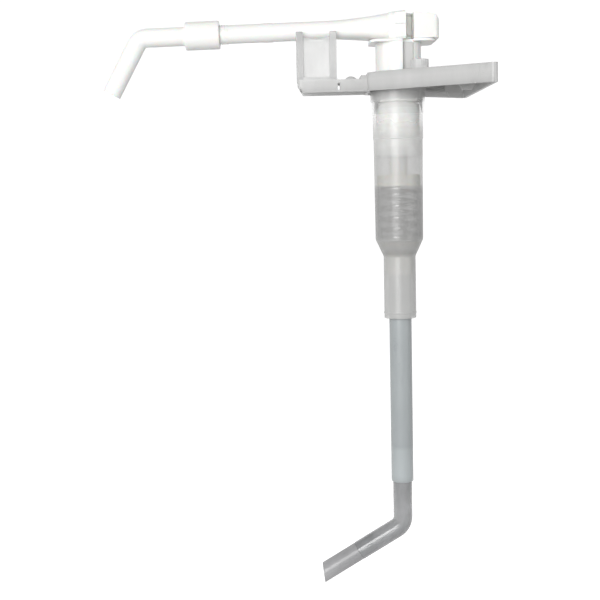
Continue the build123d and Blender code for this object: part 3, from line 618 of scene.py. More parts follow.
@dataclass
class Shell:
    """Points and four-sided faces of one closed surface, in millimetres."""

    points: np.ndarray
    faces: np.ndarray
    radial: np.ndarray | None = None

    def volume(self) -> float:
        """Adds up the corner products of each face's two triangles.

        Returns:
            The signed volume, a sixth of that sum.
        """
        a, b, c, d = (self.points[self.faces[:, k]] for k in range(4))
        halves = np.einsum("ij,ij->i", a, np.cross(b, c)) + np.einsum("ij,ij->i", a, np.cross(c, d))
        return float(halves.sum() / 6.0)

    def outward(self) -> "Shell":
        """The same shell with its faces pointing outwards."""
        return self if self.volume() > 0 else Shell(self.points, self.faces[:, ::-1], self.radial)

    def __add__(self, other: "Shell") -> "Shell":
        """Both shells in one mesh."""
        return Shell(np.vstack([self.points, other.points]),
                     np.vstack([self.faces, other.faces + len(self.points)]))


def grid_faces(rows: int, columns: int, close_rows: bool = True, close_columns: bool = True) -> np.ndarray:
    """Joins neighbouring points of a grid, which may close on itself both ways.

    Args:
        rows: the grid's rows.
        columns: its columns.
        close_rows: whether the last row joins the first.
        close_columns: whether the last column joins the first.

    Returns:
        The corners' numbers, one row for each face.
    """
    index = np.arange(rows * columns).reshape(rows, columns)
    if close_rows:
        index = np.vstack([index, index[:1]])
    if close_columns:
        index = np.hstack([index, index[:, :1]])
    corners = (index[:-1, :-1], index[1:, :-1], index[1:, 1:], index[:-1, 1:])
    return np.stack(corners, axis=-1).reshape(-1, 4)


def capped(points: np.ndarray) -> Shell:
    """Closes a stack of loops, each end drawn in to its own middle.

    Args:
        points: the loops, one after the other.

    Returns:
        The closed shell.
    """
    ends = [np.repeat(loop.mean(axis=0)[None, None], points.shape[1], axis=1) for loop in (points[0], points[-1])]
    stack = np.concatenate([ends[0], points, ends[1]])
    return Shell(stack.reshape(-1, 3), grid_faces(*stack.shape[:2], close_rows=False)).outward()


def turned_shell(outline: np.ndarray, line: CentreLine, segments: int = 96, slant: float = 0.0,
                 slant_run: float = 10.0, swell: Callable[[np.ndarray, np.ndarray], np.ndarray] | None = None,
                 ) -> Shell:
    """Carries a closed (distance, radius) outline round a centre line.

    A point at distance s, radius r and angle a is C(s) + r (cos(a) N(s) + sin(a) Y), with N across the line
    in the XZ plane. Near the far end it also moves along the line by r cos(a) tan(slant), which slants the
    end.

    Args:
        outline: closed outline in (distance, radius).
        line: the centre line.
        segments: points round the line.
        slant: angle of the far end, in radians.
        slant_run: length over which the slant fades in.
        swell: change of radius as a function of distance and angle.

    Returns:
        A closed shell.
    """
    along, radius = outline[:, 0][:, None], outline[:, 1][:, None]
    angle = np.linspace(0.0, FULL_TURN, segments, endpoint=False)[None, :]
    if swell is not None:
        radius = radius + swell(along, angle)
    place, ahead = line.at(outline[:, 0])
    share = np.clip(1.0 - (line.length - along) / slant_run, 0.0, 1.0)
    shift = share * radius * np.cos(angle) * math.tan(slant)
    across = np.stack([-ahead[:, 1], ahead[:, 0]], axis=-1)
    x = place[:, :1] + radius * np.cos(angle) * across[:, :1] + shift * ahead[:, :1]
    z = place[:, 1:] + radius * np.cos(angle) * across[:, 1:] + shift * ahead[:, 1:]
    y = radius * np.sin(angle) + 0.0 * along
    points = np.stack([x, y, z], axis=-1)
    spokes = np.stack([np.cos(angle) * across[:, :1], np.sin(angle) + 0.0 * along, np.cos(angle) * across[:, 1:]],
                      axis=-1)
    return Shell(points.reshape(-1, 3), grid_faces(*points.shape[:2]), spokes.reshape(-1, 3)).outward()


def ring_wall(outer: Sequence[tuple[float, float]], bore: Sequence[tuple[float, float]], cut: float,
              longest: float = 4.0) -> np.ndarray:
    """Closed wall outline from an outer line and a bore line, both run in the same direction."""
    return divided(softened([*outer, *reversed(bore)], cut), longest)


class Piece:
    """One finished object on a body of the pump."""

    def __init__(self, name: str, body: str, finish: Finishes, slot: str, stands_for: Sequence[str] = ()) -> None:
        """Notes what the piece is.

        Args:
            name: the object's name.
            body: the CAD body it rides on.
            finish: its finish.
            slot: the record's material slot; kept on the piece but not used.
            stands_for: CAD nodes that it replaces.
        """
        self.name = name
        self.body = body
        self.finish = finish
        self.slot = slot
        self.stands_for = tuple(stands_for)

    def _place(self, mesh: bpy.types.Mesh, crease: float) -> bpy.types.Object:
        """Puts a mesh in the scene, dressed and tied to its body.

        Args:
            mesh: the piece's mesh.
            crease: edges sharper than this, in degrees, stay sharp.

        Returns:
            The new object.
        """
        mesh.materials.clear()
        mesh.materials.append(self.finish.material())
        mesh.shade_smooth()
        mesh.set_sharp_from_angle(angle=math.radians(crease))
        made = bpy.data.objects.new(self.name, mesh)
        bpy.context.scene.collection.objects.link(made)
        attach(made, self.body)
        if self.stands_for:
            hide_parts(*self.stands_for)
        LOG.info("%s: %d faces on %s", self.name, len(mesh.polygons), self.body)
        return made

    def from_shell(self, shell: Shell, crease: float = 38.0) -> bpy.types.Object:
        """Makes the piece from a shell in millimetres.

        Args:
            shell: the surface.
            crease: edges sharper than this, in degrees, stay sharp.

        Returns:
            The new object.
        """
        mesh = bpy.data.meshes.new(self.name)
        mesh.from_pydata((shell.points * MM).tolist(), [], shell.faces.tolist())
        work = bmesh.new()
        work.from_mesh(mesh)
        bmesh.ops.remove_doubles(work, verts=work.verts, dist=SAME_POINT)
        work.to_mesh(mesh)
        work.free()
        if shell.radial is not None and len(mesh.vertices) == len(shell.points):
            self._mark_outside(mesh, shell.radial)
        return self._place(mesh, crease)

    @staticmethod
    def _mark_outside(mesh: bpy.types.Mesh, radial: np.ndarray) -> None:
        """Stores 1 on the outside of a turned wall and 0 in its bore, from the normals' radial parts.

        Args:
            mesh: the wall's mesh.
            radial: each point's direction away from the centre line.
        """
        normals = np.empty(len(mesh.vertices) * 3)
        mesh.vertex_normals.foreach_get("vector", normals)
        facing = np.einsum("ij,ij->i", normals.reshape(-1, 3), radial)
        mark = mesh.attributes.new("outside", "FLOAT", "POINT")
        mark.data.foreach_set("value", np.clip(0.5 + 2.0 * facing, 0.0, 1.0).astype(np.float32))

    def from_cad(self, node: str, edge: float, crease: float = 30.0) -> bpy.types.Object:
        """Makes the piece from a merged copy of a CAD node, with its sharp edges rounded.

        Args:
            node: the CAD node.
            edge: width of the rounding, in millimetres.
            crease: edges sharper than this, in degrees, are rounded.

        Returns:
            The new object.
        """
        work = bmesh.new()
        work.from_mesh(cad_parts[node].data)
        bmesh.ops.remove_doubles(work, verts=work.verts, dist=SAME_CAD_POINT)
        flat = math.radians(FLAT_DEGREES)
        bmesh.ops.dissolve_limit(work, angle_limit=flat, verts=work.verts, edges=work.edges)
        mesh = bpy.data.meshes.new(self.name)
        work.to_mesh(mesh)
        work.free()
        made = self._place(mesh, crease)
        bevel = made.modifiers.new("rounded_edges", "BEVEL")
        bevel.width = edge * MM
        bevel.segments = 2
        bevel.limit_method = "ANGLE"
        bevel.angle_limit = math.radians(crease)
        bevel.harden_normals = True
        return made


def lathe(profile: np.ndarray, centre: tuple[float, float] = (0.0, 0.0), segments: int = 96,
          swell: Callable[[np.ndarray, np.ndarray], np.ndarray] | None = None) -> Shell:
    """Turns a closed (height, radius) profile about an upright line.

    Args:
        profile: closed outline in (height, radius).
        centre: place of the line in X and Y.
        segments: points round the line.
        swell: change of radius as a function of the height above LATHE_FOOT and the angle.

    Returns:
        A closed shell.
    """
    line = CentreLine((centre[0], LATHE_FOOT), (centre[0], LATHE_HEAD))
    outline = np.maximum(profile, [-np.inf, 0.0]) - np.array([LATHE_FOOT, 0.0])
    shell = turned_shell(outline, line, segments, swell=swell)
    return Shell(shell.points + np.array([0.0, centre[1], 0.0]), shell.faces, shell.radial)


@dataclass
class LidGroup:
    """Fan-shaped lid, the fork on its tongue and the vent plug."""

    edge: float = 0.5
    guide_edge: float = 0.4
    vent_x: float = 11.5
    vent_y: float = -21.5
    vent_r: float = 5.4
    vent_wall: float = 1.6
    vent_stem_r: float = 3.0
    vent_round: float = 0.5
    vent_grid: float = 1.5
    vent_knurls: int = 24
    points_per_knurl: int = 6
    knurl_start: float = 1.5
    knurl_depth: float = 0.06
    bead_inset: float = 4.0
    bead_width: float = 1.4
    bead_rise: float = 0.5
    bead_start: float = -17.3
    bead_start_half: float = 14.7
    bead_side_share: float = 1.6
    bead_corner: float = 6.0
    bead_corner_points: int = 7
    bead_grid: float = 3.0
    bead_segments: int = 14
    mark_r: float = 2.2
    mark_depth: float = 0.6
    mark_rise: float = 0.15
    mark_floor: float = 0.02
    mark_rim: float = 0.5
    mark_slope: float = 0.1
    mark_round: float = 0.08
    mark_segments: int = 32
    mark_places: tuple[tuple[float, float], ...] = ((40.0, -38.0), (40.0, 38.0), (40.0, 0.0), (22.0, 24.0))
    lug_r: float = 15.4
    lug_thick: float = 0.35
    lug_inner: float = 34.0
    lug_outer: float = 72.0
    lug_top: float = 0.4
    lug_bottom: float = -13.0
    lug_taper: float = 0.93
    lug_curve: float = 1.2
    lug_rows: int = 16
    lug_columns: int = 12

    def build(self) -> None:
        """Makes the three mouldings and the marks on the lid's deck."""
        Piece("lid_shell", "lid_and_barrel", Finishes.LID, "lid_plastic", ["lid"]).from_cad("lid", self.edge)
        fork = Piece("guide_fork", "lid_and_barrel", Finishes.GUIDE, "lid_plastic", ["spout_guide"])
        fork.from_cad("spout_guide", self.guide_edge)
        self._vent_plug()
        self._deck_bead()
        self._ejector_marks()
        self._lugs()

    def _vent_plug(self) -> None:
        """Cupped cap with a finely ribbed rim, turned about its own line."""
        low, high = (corner[2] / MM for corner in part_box("vent_plug"))
        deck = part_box("lid")[1][2] / MM
        cup = high - (high - deck) / 2
        profile = divided(softened([
            (low, 0.0), (low, self.vent_stem_r), (deck, self.vent_stem_r), (deck, self.vent_r),
            (high, self.vent_r), (high, self.vent_r - self.vent_wall), (cup, self.vent_r - self.vent_wall),
            (cup, 0.0),
        ], self.vent_round), self.vent_grid)

        def ribs(along: np.ndarray, angle: np.ndarray) -> np.ndarray:
            """Ribs on the rim: a cosine round the cap, only above the deck."""
            start = deck + self.knurl_start - LATHE_FOOT
            return np.where(along > start, self.knurl_depth * (np.cos(self.vent_knurls * angle) - 1.0), 0.0)

        shell = lathe(profile, (self.vent_x, self.vent_y), self.vent_knurls * self.points_per_knurl, ribs)
        Piece("vent_cap", "lid_and_barrel", Finishes.VENT, "lid_plastic", ["vent_plug"]).from_shell(shell)

    def _deck_bead(self) -> None:
        """Low bead along the deck: a half ellipse carried along the fan's inset outline."""
        low, high = (np.array(corner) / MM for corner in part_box("lid"))
        start, across_start, far = self.bead_start, self.bead_start_half, high[0] - self.bead_inset
        inset = self.bead_side_share * self.bead_inset
        low_side, high_side = low[1] + inset, high[1] - inset
        path = [(start, -across_start), (far, low_side), (far, high_side), (start, across_start)]
        line = divided(softened(path, self.bead_corner, self.bead_corner_points), self.bead_grid)
        ahead = np.roll(line, -1, axis=0) - np.roll(line, 1, axis=0)
        ahead = ahead / np.linalg.norm(ahead, axis=1, keepdims=True)
        across = np.stack([ahead[:, 1], -ahead[:, 0]], axis=-1)
        a = np.linspace(0.0, FULL_TURN, self.bead_segments, endpoint=False)
        side = np.cos(a) * self.bead_width / 2
        x = line[:, :1] + across[:, :1] * side
        y = line[:, 1:] + across[:, 1:] * side
        z = high[2] + np.sin(a) * self.bead_rise + 0.0 * x
        points = np.stack([x, y, z], axis=-1)
        shell = Shell(points.reshape(-1, 3), grid_faces(*points.shape[:2])).outward()
        Piece("deck_bead", "lid_and_barrel", Finishes.LID, "lid_plastic").from_shell(shell)

    def _lugs(self) -> None:
        """Two three-cornered locking lugs in the neck, each a thin curved plate; their dark grey finish is painted
        shade for the shade at the neck's sides.

        A share t of the way down, the plate runs from angle A1 - (A1 - A0) (1 - k t)^p to A1, with k the
        taper and p the curve, so it narrows towards its foot.
        """
        t = np.linspace(0.0, 1.0, self.lug_rows)
        outer_angle, inner_angle = math.radians(self.lug_outer), math.radians(self.lug_inner)
        for side in (-1.0, 1.0):
            edge = outer_angle - (outer_angle - inner_angle) * (1.0 - t * self.lug_taper) ** self.lug_curve
            share = np.linspace(0.0, 1.0, self.lug_columns)
            angle = edge[:, None] + (outer_angle - edge)[:, None] * share[None, :]
            angle = np.hstack([angle, angle[:, ::-1]])
            radius = np.hstack([np.full((t.size, share.size), self.lug_r),
                                np.full((t.size, share.size), self.lug_r - self.lug_thick)])
            height = self.lug_top + (self.lug_bottom - self.lug_top) * t[:, None] + 0.0 * angle
            points = np.stack([side * radius * np.sin(angle), -radius * np.cos(angle), height], axis=-1)
            shell = capped(points)
            name = "lug_left" if side < 0 else "lug_right"
            Piece(name, "lid_and_barrel", Finishes.LUG, "lid_plastic").from_shell(shell)

    def _ejector_marks(self) -> None:
        """Shallow round marks of the tool's ejector pins on the deck: very low turned discs."""
        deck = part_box("lid")[1][2] / MM
        foot, rim, floor = deck - self.mark_depth, deck + self.mark_rise, deck + self.mark_floor
        inner = self.mark_r - self.mark_rim
        profile = divided(softened([
            (foot, 0.0), (foot, self.mark_r), (rim, self.mark_r), (rim, inner), (floor, inner - self.mark_slope),
            (floor, 0.0),
        ], self.mark_round), 1.0)
        shells = [lathe(profile, place, self.mark_segments) for place in self.mark_places]
        total = sum(shells[1:], shells[0])
        Piece("ejector_marks", "lid_and_barrel", Finishes.LID, "lid_plastic").from_shell(total)


@dataclass
class HeadGroup:
    """Slotted column, spout arm and press block."""

    column_edge: float = 0.35
    arm_edge: float = 0.45
    block_edge: float = 0.6
    slot_left: float = 2.3
    slot_right: float = 9.1
    slot_floor: float = 9.62
    strip_thick: float = 0.7
    strip_gap: float = 0.15
    strip_top: float = 29.3
    strip_round: float = 0.2
    strip_tip: float = 0.05
    strip_shoulder: float = 0.35
    strip_body: float = 1.0
    strip_rows: int = 14
    strip_narrowing: float = 0.9

    def build(self) -> None:
        """Makes the three white mouldings of the head."""
        parts = (("column_moulding", "head_column", self.column_edge), ("arm_moulding", "spout_arm", self.arm_edge),
                 ("block_moulding", "press_block", self.block_edge))
        for name, node, edge in parts:
            Piece(name, "plunger", Finishes.WHITE, "white_plastic", [node]).from_cad(node, edge)
        for side in (-1.0, 1.0):
            self._slot_strip(side)

    def _slot_strip(self, side: float) -> None:
        """Thin softened strip on the floor of the column's slot, narrower at its two ends; its grey finish is painted
        shade for the depth of the slot.

        Args:
            side: -1 for the front slot, 1 for the back one.
        """
        low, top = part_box("head_column")[0][2] / MM, self.strip_top
        floor, face = side * self.slot_floor, side * (self.slot_floor + self.strip_thick)
        left, right = self.slot_left + self.strip_gap, self.slot_right - self.strip_gap
        section = softened([(left, floor), (right, floor), (right, face), (left, face)], self.strip_round)
        ends = np.array([self.strip_tip, self.strip_shoulder])
        body = np.linspace(low + self.strip_body, top - self.strip_body, self.strip_rows)
        heights = np.concatenate([low + ends, body, top - ends[::-1]])
        inset = np.ones(heights.size)
        inset[[0, -1]] = self.strip_narrowing
        middle = section.mean(axis=0)
        loops = middle + (section - middle)[None] * inset[:, None, None]
        upright = np.broadcast_to(heights[:, None, None], (*loops.shape[:2], 1))
        name = "slot_strip_front" if side < 0 else "slot_strip_back"
        shell = capped(np.concatenate([loops, upright], 2))
        Piece(name, "plunger", Finishes.SLOT, "white_plastic").from_shell(shell)


@dataclass
class NozzleGroup:
    """Bent nozzle with its thick collar."""

    spout_z: float = 39.4
    fall: float = math.radians(1.2)
    collar_start: float = -108.4
    collar_length: float = 21.1
    collar_r: float = 8.6
    socket_r: float = 5.71
    socket_end: float = -126.55
    tube_r: float = 5.75
    bore_r: float = 3.9
    bend_x: float = -157.4
    down: float = math.radians(61.0)
    bend_r: float = 7.5
    leg: float = 38.3
    collar_ease: float = 0.7
    front_drop: float = 0.3
    back_drop: float = 0.5
    fillet_rise: float = 0.35
    fillet_run: float = 1.2
    mouth_flare: float = 0.4
    mouth_run: float = 0.8
    edge_round: float = 0.35
    grid: float = 1.6
    segments: int = 112
    parting_rise: float = 0.05
    parting_width: float = 0.06

    def build(self) -> None:
        """Makes the nozzle: collar, straight tube, bend and leg in one turned wall along the centre line."""
        angle = self.down - self.fall
        end = (self.bend_x - self.leg * math.cos(angle), self.spout_z - self.leg * math.sin(angle))
        line = CentreLine((self.collar_start, self.spout_z), (self.bend_x, self.spout_z), end, self.bend_r)
        collar, tube = self.collar_r, self.tube_r
        outer = [
            (0.0, collar - self.front_drop), (self.collar_ease, collar),
            (self.collar_length - self.collar_ease, collar), (self.collar_length, collar - self.back_drop),
            (self.collar_length, tube + self.fillet_rise), (self.collar_length + self.fillet_run, tube),
            (line.length, tube),
        ]
        socket = self.collar_start - self.socket_end
        bore = [(0.0, self.socket_r + self.mouth_flare), (self.mouth_run, self.socket_r),
                (socket, self.socket_r), (socket, self.bore_r), (line.length, self.bore_r)]

        def parting(along: np.ndarray, angle: np.ndarray) -> np.ndarray:
            """Two fine lengthwise parting lines: narrow bumps at the top and the bottom."""
            return self.parting_rise * np.exp(-((np.sin(angle) / self.parting_width) ** 2))

        wall = turned_shell(ring_wall(outer, bore, self.edge_round, self.grid), line, self.segments, swell=parting)
        piece = Piece("nozzle_moulding", "nozzle", Finishes.WHITE, "white_plastic", ["nozzle"])
        piece.from_shell(self._fallen(wall))

    def _fallen(self, shell: Shell) -> Shell:
        """Turns a shell about the Y direction at the pump's axis, by the spout's fall.

        Args:
            shell: the level shell.

        Returns:
            The sloping shell.
        """
        x, z = shell.points[:, 0], shell.points[:, 2] - self.spout_z
        turned_x = x * math.cos(self.fall) - z * math.sin(self.fall)
        turned_z = x * math.sin(self.fall) + z * math.cos(self.fall) + self.spout_z
        return Shell(np.stack([turned_x, shell.points[:, 1], turned_z], axis=-1), shell.faces)


@dataclass
class BarrelGroup:
    """Barrel that hangs from the neck, with what shows through its wall."""

    rim_r: float = 14.15
    neck_bottom: float = -13.4
    collar_r: float = 15.55
    collar_bottom: float = -28.4
    top_r: float = 15.2
    bottom_r: float = 14.8
    bore_r: float = 13.4
    shoulder_top: float = -90.5
    shoulder_bottom: float = -100.8
    socket_r: float = 10.0
    socket_bore_r: float = 7.05
    valve_bore_r: float = 8.4
    valve_floor: float = -112.0
    bead_r: float = 10.35
    bead_up: float = 3.4
    bead_half: float = 0.7
    collar_step: float = 0.3
    edge_round: float = 0.5
    grid: float = 3.0
    segments: int = 128

    def build(self) -> None:
        """Makes the barrel as one turned wall with soft corners."""
        low, high = (corner[2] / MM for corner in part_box("pump_barrel"))
        bead = low + self.bead_up
        outer = [
            (high, self.rim_r), (self.neck_bottom, self.rim_r), (self.neck_bottom, self.collar_r),
            (self.collar_bottom, self.collar_r), (self.collar_bottom - self.collar_step, self.top_r),
            (self.shoulder_top, self.bottom_r), (self.shoulder_bottom, self.socket_r),
            (bead + self.bead_half, self.socket_r), (bead, self.bead_r),
            (bead - self.bead_half, self.socket_r), (low, self.socket_r),
        ]
        bore = [
            (high, self.bore_r), (self.shoulder_top, self.bore_r), (self.shoulder_bottom, self.valve_bore_r),
            (self.valve_floor, self.valve_bore_r), (self.valve_floor, self.socket_bore_r), (low, self.socket_bore_r),
        ]
        shell = lathe(ring_wall(outer, bore, self.edge_round, self.grid), segments=self.segments)
        Piece("barrel_moulding", "lid_and_barrel", Finishes.BARREL, "barrel_plastic",
              ["pump_barrel"]).from_shell(shell)


@dataclass
class SpringGroup:
    """Return spring with closed, ground ends."""

    coil_r: float = 10.6
    wire_r: float = 1.15
    low: float = -92.3
    high: float = -57.3
    crossings: tuple[float, ...] = (-91.15, -88.5, -82.9, -76.4, -69.1, -61.8, -58.45)
    keep: float = 0.543
    points_per_turn: int = 56
    wire_segments: int = 14
    ground_gap: float = 0.02
    crease: float = 60.0

    def build(self) -> None:
        """Makes the spring.

        The wire's centre is at (R cos(a), R sin(a), h(a / full turn)), where h runs smoothly through the
        heights at which the wire crosses the near side.
        """
        turns = len(self.crossings) - 1
        count = turns * self.points_per_turn + 1
        share = np.linspace(0.0, turns, count)
        height = np.interp(share, np.arange(turns + 1), self.crossings)
        width = self.points_per_turn // 2
        kernel = np.hanning(width)
        padded = np.pad(height, width, mode="reflect", reflect_type="odd")
        height = np.convolve(padded, kernel / kernel.sum(), mode="same")[width:-width]
        angle = share * FULL_TURN - math.pi / 2
        centre = np.stack([self.coil_r * np.cos(angle), self.coil_r * np.sin(angle), height], axis=-1)
        outward = np.stack([np.cos(angle), np.sin(angle), 0.0 * angle], axis=-1)
        ahead = np.gradient(centre, axis=0)
        ahead = ahead / np.linalg.norm(ahead, axis=1, keepdims=True)
        upward = np.cross(outward, ahead) * -1.0
        round_wire = np.linspace(0.0, FULL_TURN, self.wire_segments, endpoint=False)
        shape = (centre[:, None] + self.wire_r * (np.cos(round_wire)[None, :, None] * outward[:, None]
                                                  + np.sin(round_wire)[None, :, None] * upward[:, None]))
        shape[..., 2] = np.clip(shape[..., 2], self.low + self.ground_gap, self.high - self.ground_gap)
        ends = np.stack([centre[0], centre[-1]])
        rows, columns = shape.shape[:2]
        shape = np.concatenate([np.repeat(ends[:1, None], columns, axis=1), shape,
                                np.repeat(ends[1:, None], columns, axis=1)])
        faces = grid_faces(rows + 2, columns, close_rows=False)
        shell = Shell(shape.reshape(-1, 3), faces).outward()
        spring = Piece("coil_spring", "lid_and_barrel", Finishes.STEEL, "spring_steel",
                       ["return_spring"]).from_shell(shell, self.crease)
        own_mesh(spring)


@dataclass(frozen=True)
class Wave:
    """Wave round a tube: its depth in millimetres, its crests in a turn and the run of its drift."""

    depth: float
    crests: float
    run: float = math.inf

    def at(self, along: np.ndarray, angle: np.ndarray) -> np.ndarray:
        """Depth times the sine of crests times angle plus distance over run."""
        return self.depth * np.sin(self.crests * angle + along / self.run)


@dataclass
class SuctionGroup:
    """Dip tube, clear elbow and frosted tip."""

    dip_r: float = 7.0
    dip_wall: float = 0.85
    elbow_r: float = 6.1
    elbow_wall: float = 1.1
    corner_z: float = -273.0
    slope: float = math.radians(31.0)
    bend_r: float = 9.0
    elbow_leg: float = 33.0
    tip_r: float = 5.85
    tip_spigot_r: float = 4.95
    tip_bore_r: float = 3.95
    tip_overlap: float = 12.0
    tip_reach: float = 60.0
    tip_slant: float = math.radians(24.0)
    tip_slant_run: float = 14.0
    tip_segments: int = 96
    elbow_segments: int = 160
    dip_segments: int = 128
    dip_round: float = 0.25
    dip_grid: float = 4.0
    edge_drop: float = 0.3
    edge_run: float = 1.0
    edge_round: float = 0.3
    grid: float = 1.5
    draw_waves: tuple[Wave, ...] = (Wave(0.012, 23.0, 90.0), Wave(0.015, 2.0, 40.0))
    ridge_waves: tuple[Wave, ...] = (Wave(0.022, 13.0, 30.0), Wave(0.012, 29.0))

    def build(self) -> None:
        """Makes the three tubes."""
        self._dip_tube()
        self._elbow()
        self._tip()

    def _along(self, distance: float) -> tuple[float, float]:
        """Place on the sloping leg, measured from the bend's corner."""
        return -distance * math.cos(self.slope), self.corner_z - distance * math.sin(self.slope)

    def _dip_tube(self) -> None:
        """Straight drawn tube, a very little out of round along its length."""
        low, high = (corner[2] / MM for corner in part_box("dip_tube"))
        outer = [(high, self.dip_r), (low, self.dip_r)]
        bore = [(high, self.dip_r - self.dip_wall), (low, self.dip_r - self.dip_wall)]

        def draw_lines(along: np.ndarray, angle: np.ndarray) -> np.ndarray:
            """Fine lengthwise lines that drift slowly round the tube."""
            return sum(wave.at(along, angle) for wave in self.draw_waves)

        wall = ring_wall(outer, bore, self.dip_round, self.dip_grid)
        shell = lathe(wall, segments=self.dip_segments, swell=draw_lines)
        Piece("dip_tube_drawn", "lid_and_barrel", Finishes.DIP, "tube_plastic", ["dip_tube"]).from_shell(shell)

    def _elbow(self) -> None:
        """Clear tube from inside the dip tube, round the bend and down the slope."""
        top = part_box("suction_elbow")[1][2] / MM
        line = CentreLine((0.0, top), (0.0, self.corner_z), self._along(self.elbow_leg), self.bend_r)
        inner = self.elbow_r - self.elbow_wall
        outer = [(0.0, self.elbow_r - self.edge_drop), (self.edge_run, self.elbow_r), (line.length, self.elbow_r)]
        bore = [(0.0, inner), (line.length, inner)]

        def ridges(along: np.ndarray, angle: np.ndarray) -> np.ndarray:
            """Fine lengthwise ridges: two waves, lowered so that no crest stands proud of the tube."""
            return sum(wave.at(along, angle) - wave.depth for wave in self.ridge_waves)

        wall = ring_wall(outer, bore, self.edge_round, self.grid)
        shell = turned_shell(wall, line, self.elbow_segments, swell=ridges)
        Piece("elbow_tube", "suction_foot", Finishes.CLEAR, "clear_plastic", ["suction_elbow"]).from_shell(shell)

    def _tip(self) -> None:
        """End tube: a spigot inside the elbow, a shoulder, and an open end cut at a slant."""
        start, end = self._along(self.elbow_leg - self.tip_overlap), self._along(self.tip_reach)
        line = CentreLine(start, end)
        outer = [(0.0, self.tip_spigot_r - self.edge_drop), (self.edge_run, self.tip_spigot_r),
                 (self.tip_overlap, self.tip_spigot_r), (self.tip_overlap, self.tip_r), (line.length, self.tip_r)]
        bore = [(0.0, self.tip_bore_r), (line.length, self.tip_bore_r)]
        wall = ring_wall(outer, bore, self.edge_round, self.grid)
        shell = turned_shell(wall, line, self.tip_segments, self.tip_slant, self.tip_slant_run)
        Piece("tip_tube", "suction_foot", Finishes.FROSTED, "frosted_plastic", ["suction_tip"]).from_shell(shell)


# --- studio ---


@dataclass(frozen=True)
class SoftBox:
    """Square area light: its place and side in metres, and its power in watts."""

    name: str
    place: tuple[float, float, float]
    side: float
    watts: float

    def build(self, aim: tuple[float, float, float]) -> None:
        """Makes the light.

        Args:
            aim: the point that it faces.
        """
        light = bpy.data.lights.new(self.name, "AREA")
        light.size = self.side
        light.energy = self.watts
        lamp = bpy.data.objects.new(self.name, light)
        lamp.location = self.place
        lamp.rotation_euler = (Vector(aim) - Vector(self.place)).to_track_quat("-Z", "Y").to_euler()
        bpy.context.scene.collection.objects.link(lamp)


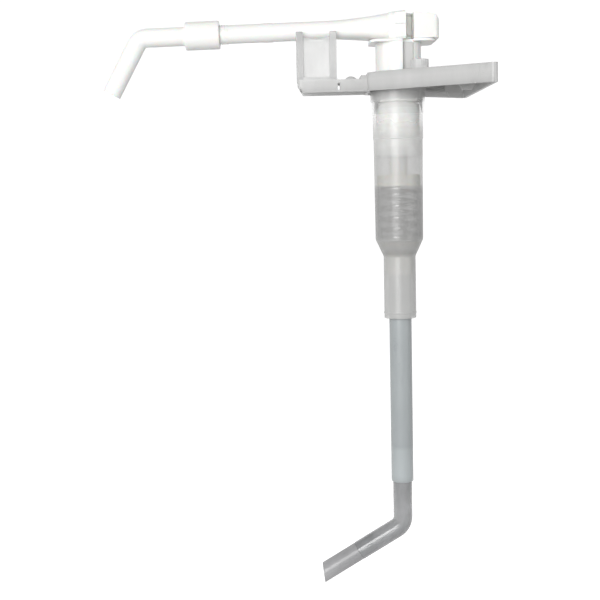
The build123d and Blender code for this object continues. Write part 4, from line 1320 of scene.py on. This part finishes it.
@dataclass
class Studio:
    """Pale sweep, soft lights and the camera."""

    lens_pixels: float = 1100.0
    camera_x: float = -62.9 * MM
    camera_z: float = -55.3 * MM
    distance: float = 687.0 * MM
    pitch: float = math.radians(5.97)
    roll: float = math.radians(1.3)
    sensor: float = 36.0
    far_clip: float = 30.0
    sweep_half_width: float = 4.0
    sweep_depth: float = 3.0
    sweep_radius: float = 1.2
    sweep_height: float = 4.0
    sweep_columns: int = 9
    sweep_rows: tuple[int, int, int] = (12, 16, 6)
    floor_gap: float = 0.1 * MM
    paper: tuple[float, float, float, float] = (0.8, 0.8, 0.8, 1.0)
    paper_roughness: float = 0.9
    paper_glow: float = 0.75
    world_low: float = 0.36
    world_high: float = 0.36
    horizon: float = 0.5
    white: tuple[float, float, float, float] = (1.0, 1.0, 1.0, 1.0)
    aim: tuple[float, float, float] = (-0.03, 0.0, -0.1)
    lamps: tuple[SoftBox, ...] = (
        SoftBox("key", (-0.5, -1.3, 0.14), 0.8, 17.0),
        SoftBox("side", (-1.4, -0.3, 0.3), 0.8, 3.2),
        SoftBox("fill", (1.2, -0.9, 0.1), 0.9, 5.0),
    )

    def build(self) -> None:
        """Makes the sweep, the world, the lights and the camera."""
        self._sweep()
        self._world()
        for lamp in self.lamps:
            lamp.build(self.aim)
        self._camera()
        bpy.context.scene.view_settings.view_transform = "Standard"

    def _sweep(self) -> None:
        """Floor that curves up into a back wall: a line, a quarter circle and a line, carried along X."""
        low = float(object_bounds()[0][2]) - self.floor_gap
        flat_rows, turn_rows, wall_rows = self.sweep_rows
        flat = np.linspace(-self.sweep_depth, self.sweep_depth, flat_rows)
        turn = np.linspace(0.0, math.pi / 2, turn_rows)[1:]
        rise = np.linspace(self.sweep_radius, self.sweep_height, wall_rows)[1:]
        y = np.concatenate([flat, self.sweep_depth + self.sweep_radius * np.sin(turn),
                            np.full(rise.size, self.sweep_depth + self.sweep_radius)])
        z = np.concatenate([np.zeros(flat.size), self.sweep_radius * (1.0 - np.cos(turn)), rise]) + low
        x = np.linspace(-self.sweep_half_width, self.sweep_half_width, self.sweep_columns)
        grid = np.stack(np.broadcast_arrays(x[:, None], y[None, :], z[None, :]), axis=-1)
        faces = grid_faces(*grid.shape[:2], close_rows=False, close_columns=False)
        mesh = bpy.data.meshes.new("studio_sweep")
        mesh.from_pydata(grid.reshape(-1, 3).tolist(), [], faces.tolist())
        mesh.shade_smooth()
        sweep = bpy.data.objects.new("studio_sweep", mesh)
        bpy.context.scene.collection.objects.link(sweep)
        graph = Graph("sweep_paper")
        graph.set(Base_Color=self.paper, Roughness=self.paper_roughness)
        graph.set(Emission_Color=self.white, Emission_Strength=self.paper_glow)
        mesh.materials.append(graph.owner)
        sweep.visible_diffuse = False
        sweep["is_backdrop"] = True

    def _world(self) -> None:
        """Surroundings with one strength below and another above the horizon, here the same.

        The ramp stays while the two are equal, because a plain number in its place lights the pump a little
        more.
        """
        graph = Graph("studio_world", bpy.data.worlds, "Background")
        upward = graph.node("ShaderNodeSeparateXYZ", {}, {
            "Vector": graph.node("ShaderNodeTexCoord", output="Generated")}, "Z")
        strength = graph.node("ShaderNodeMapRange", {}, {
            "Value": upward, "From Min": -self.horizon, "From Max": self.horizon,
            "To Min": self.world_low, "To Max": self.world_high,
        }, "Result")
        graph.set(Color=self.white, Strength=strength)
        bpy.context.scene.world = graph.owner

    def _camera(self) -> None:
        """Camera that looks along +Y and slightly down, turned a little about its own line of sight."""
        data = bpy.data.cameras.new("camera")
        data.sensor_width = self.sensor
        data.lens = self.lens_pixels / IMAGE_SIDE * self.sensor
        data.clip_end = self.far_clip
        forward = Vector((0.0, math.cos(self.pitch), -math.sin(self.pitch)))
        level = Vector((1.0, 0.0, 0.0))
        upright = level.cross(forward)
        right = level * math.cos(self.roll) - upright * math.sin(self.roll)
        up = level * math.sin(self.roll) + upright * math.cos(self.roll)
        turn = Matrix((right, up, -forward)).transposed()
        camera = bpy.data.objects.new("camera", data)
        place = Matrix.Translation((self.camera_x, -self.distance, self.camera_z))
        camera.matrix_world = place @ turn.to_4x4()
        bpy.context.scene.collection.objects.link(camera)
        bpy.context.scene.camera = camera


def main() -> None:
    """Builds the pump's looks and the studio."""
    logging.basicConfig(level=logging.INFO, format="%(name)s: %(message)s")
    dress_cad_nodes()
    for group in (LidGroup(), HeadGroup(), NozzleGroup(), BarrelGroup(), SpringGroup(), SuctionGroup()):
        group.build()
        LOG.info("built %s", type(group).__name__)
    Studio().build()


if __name__ == "__main__":
    main()
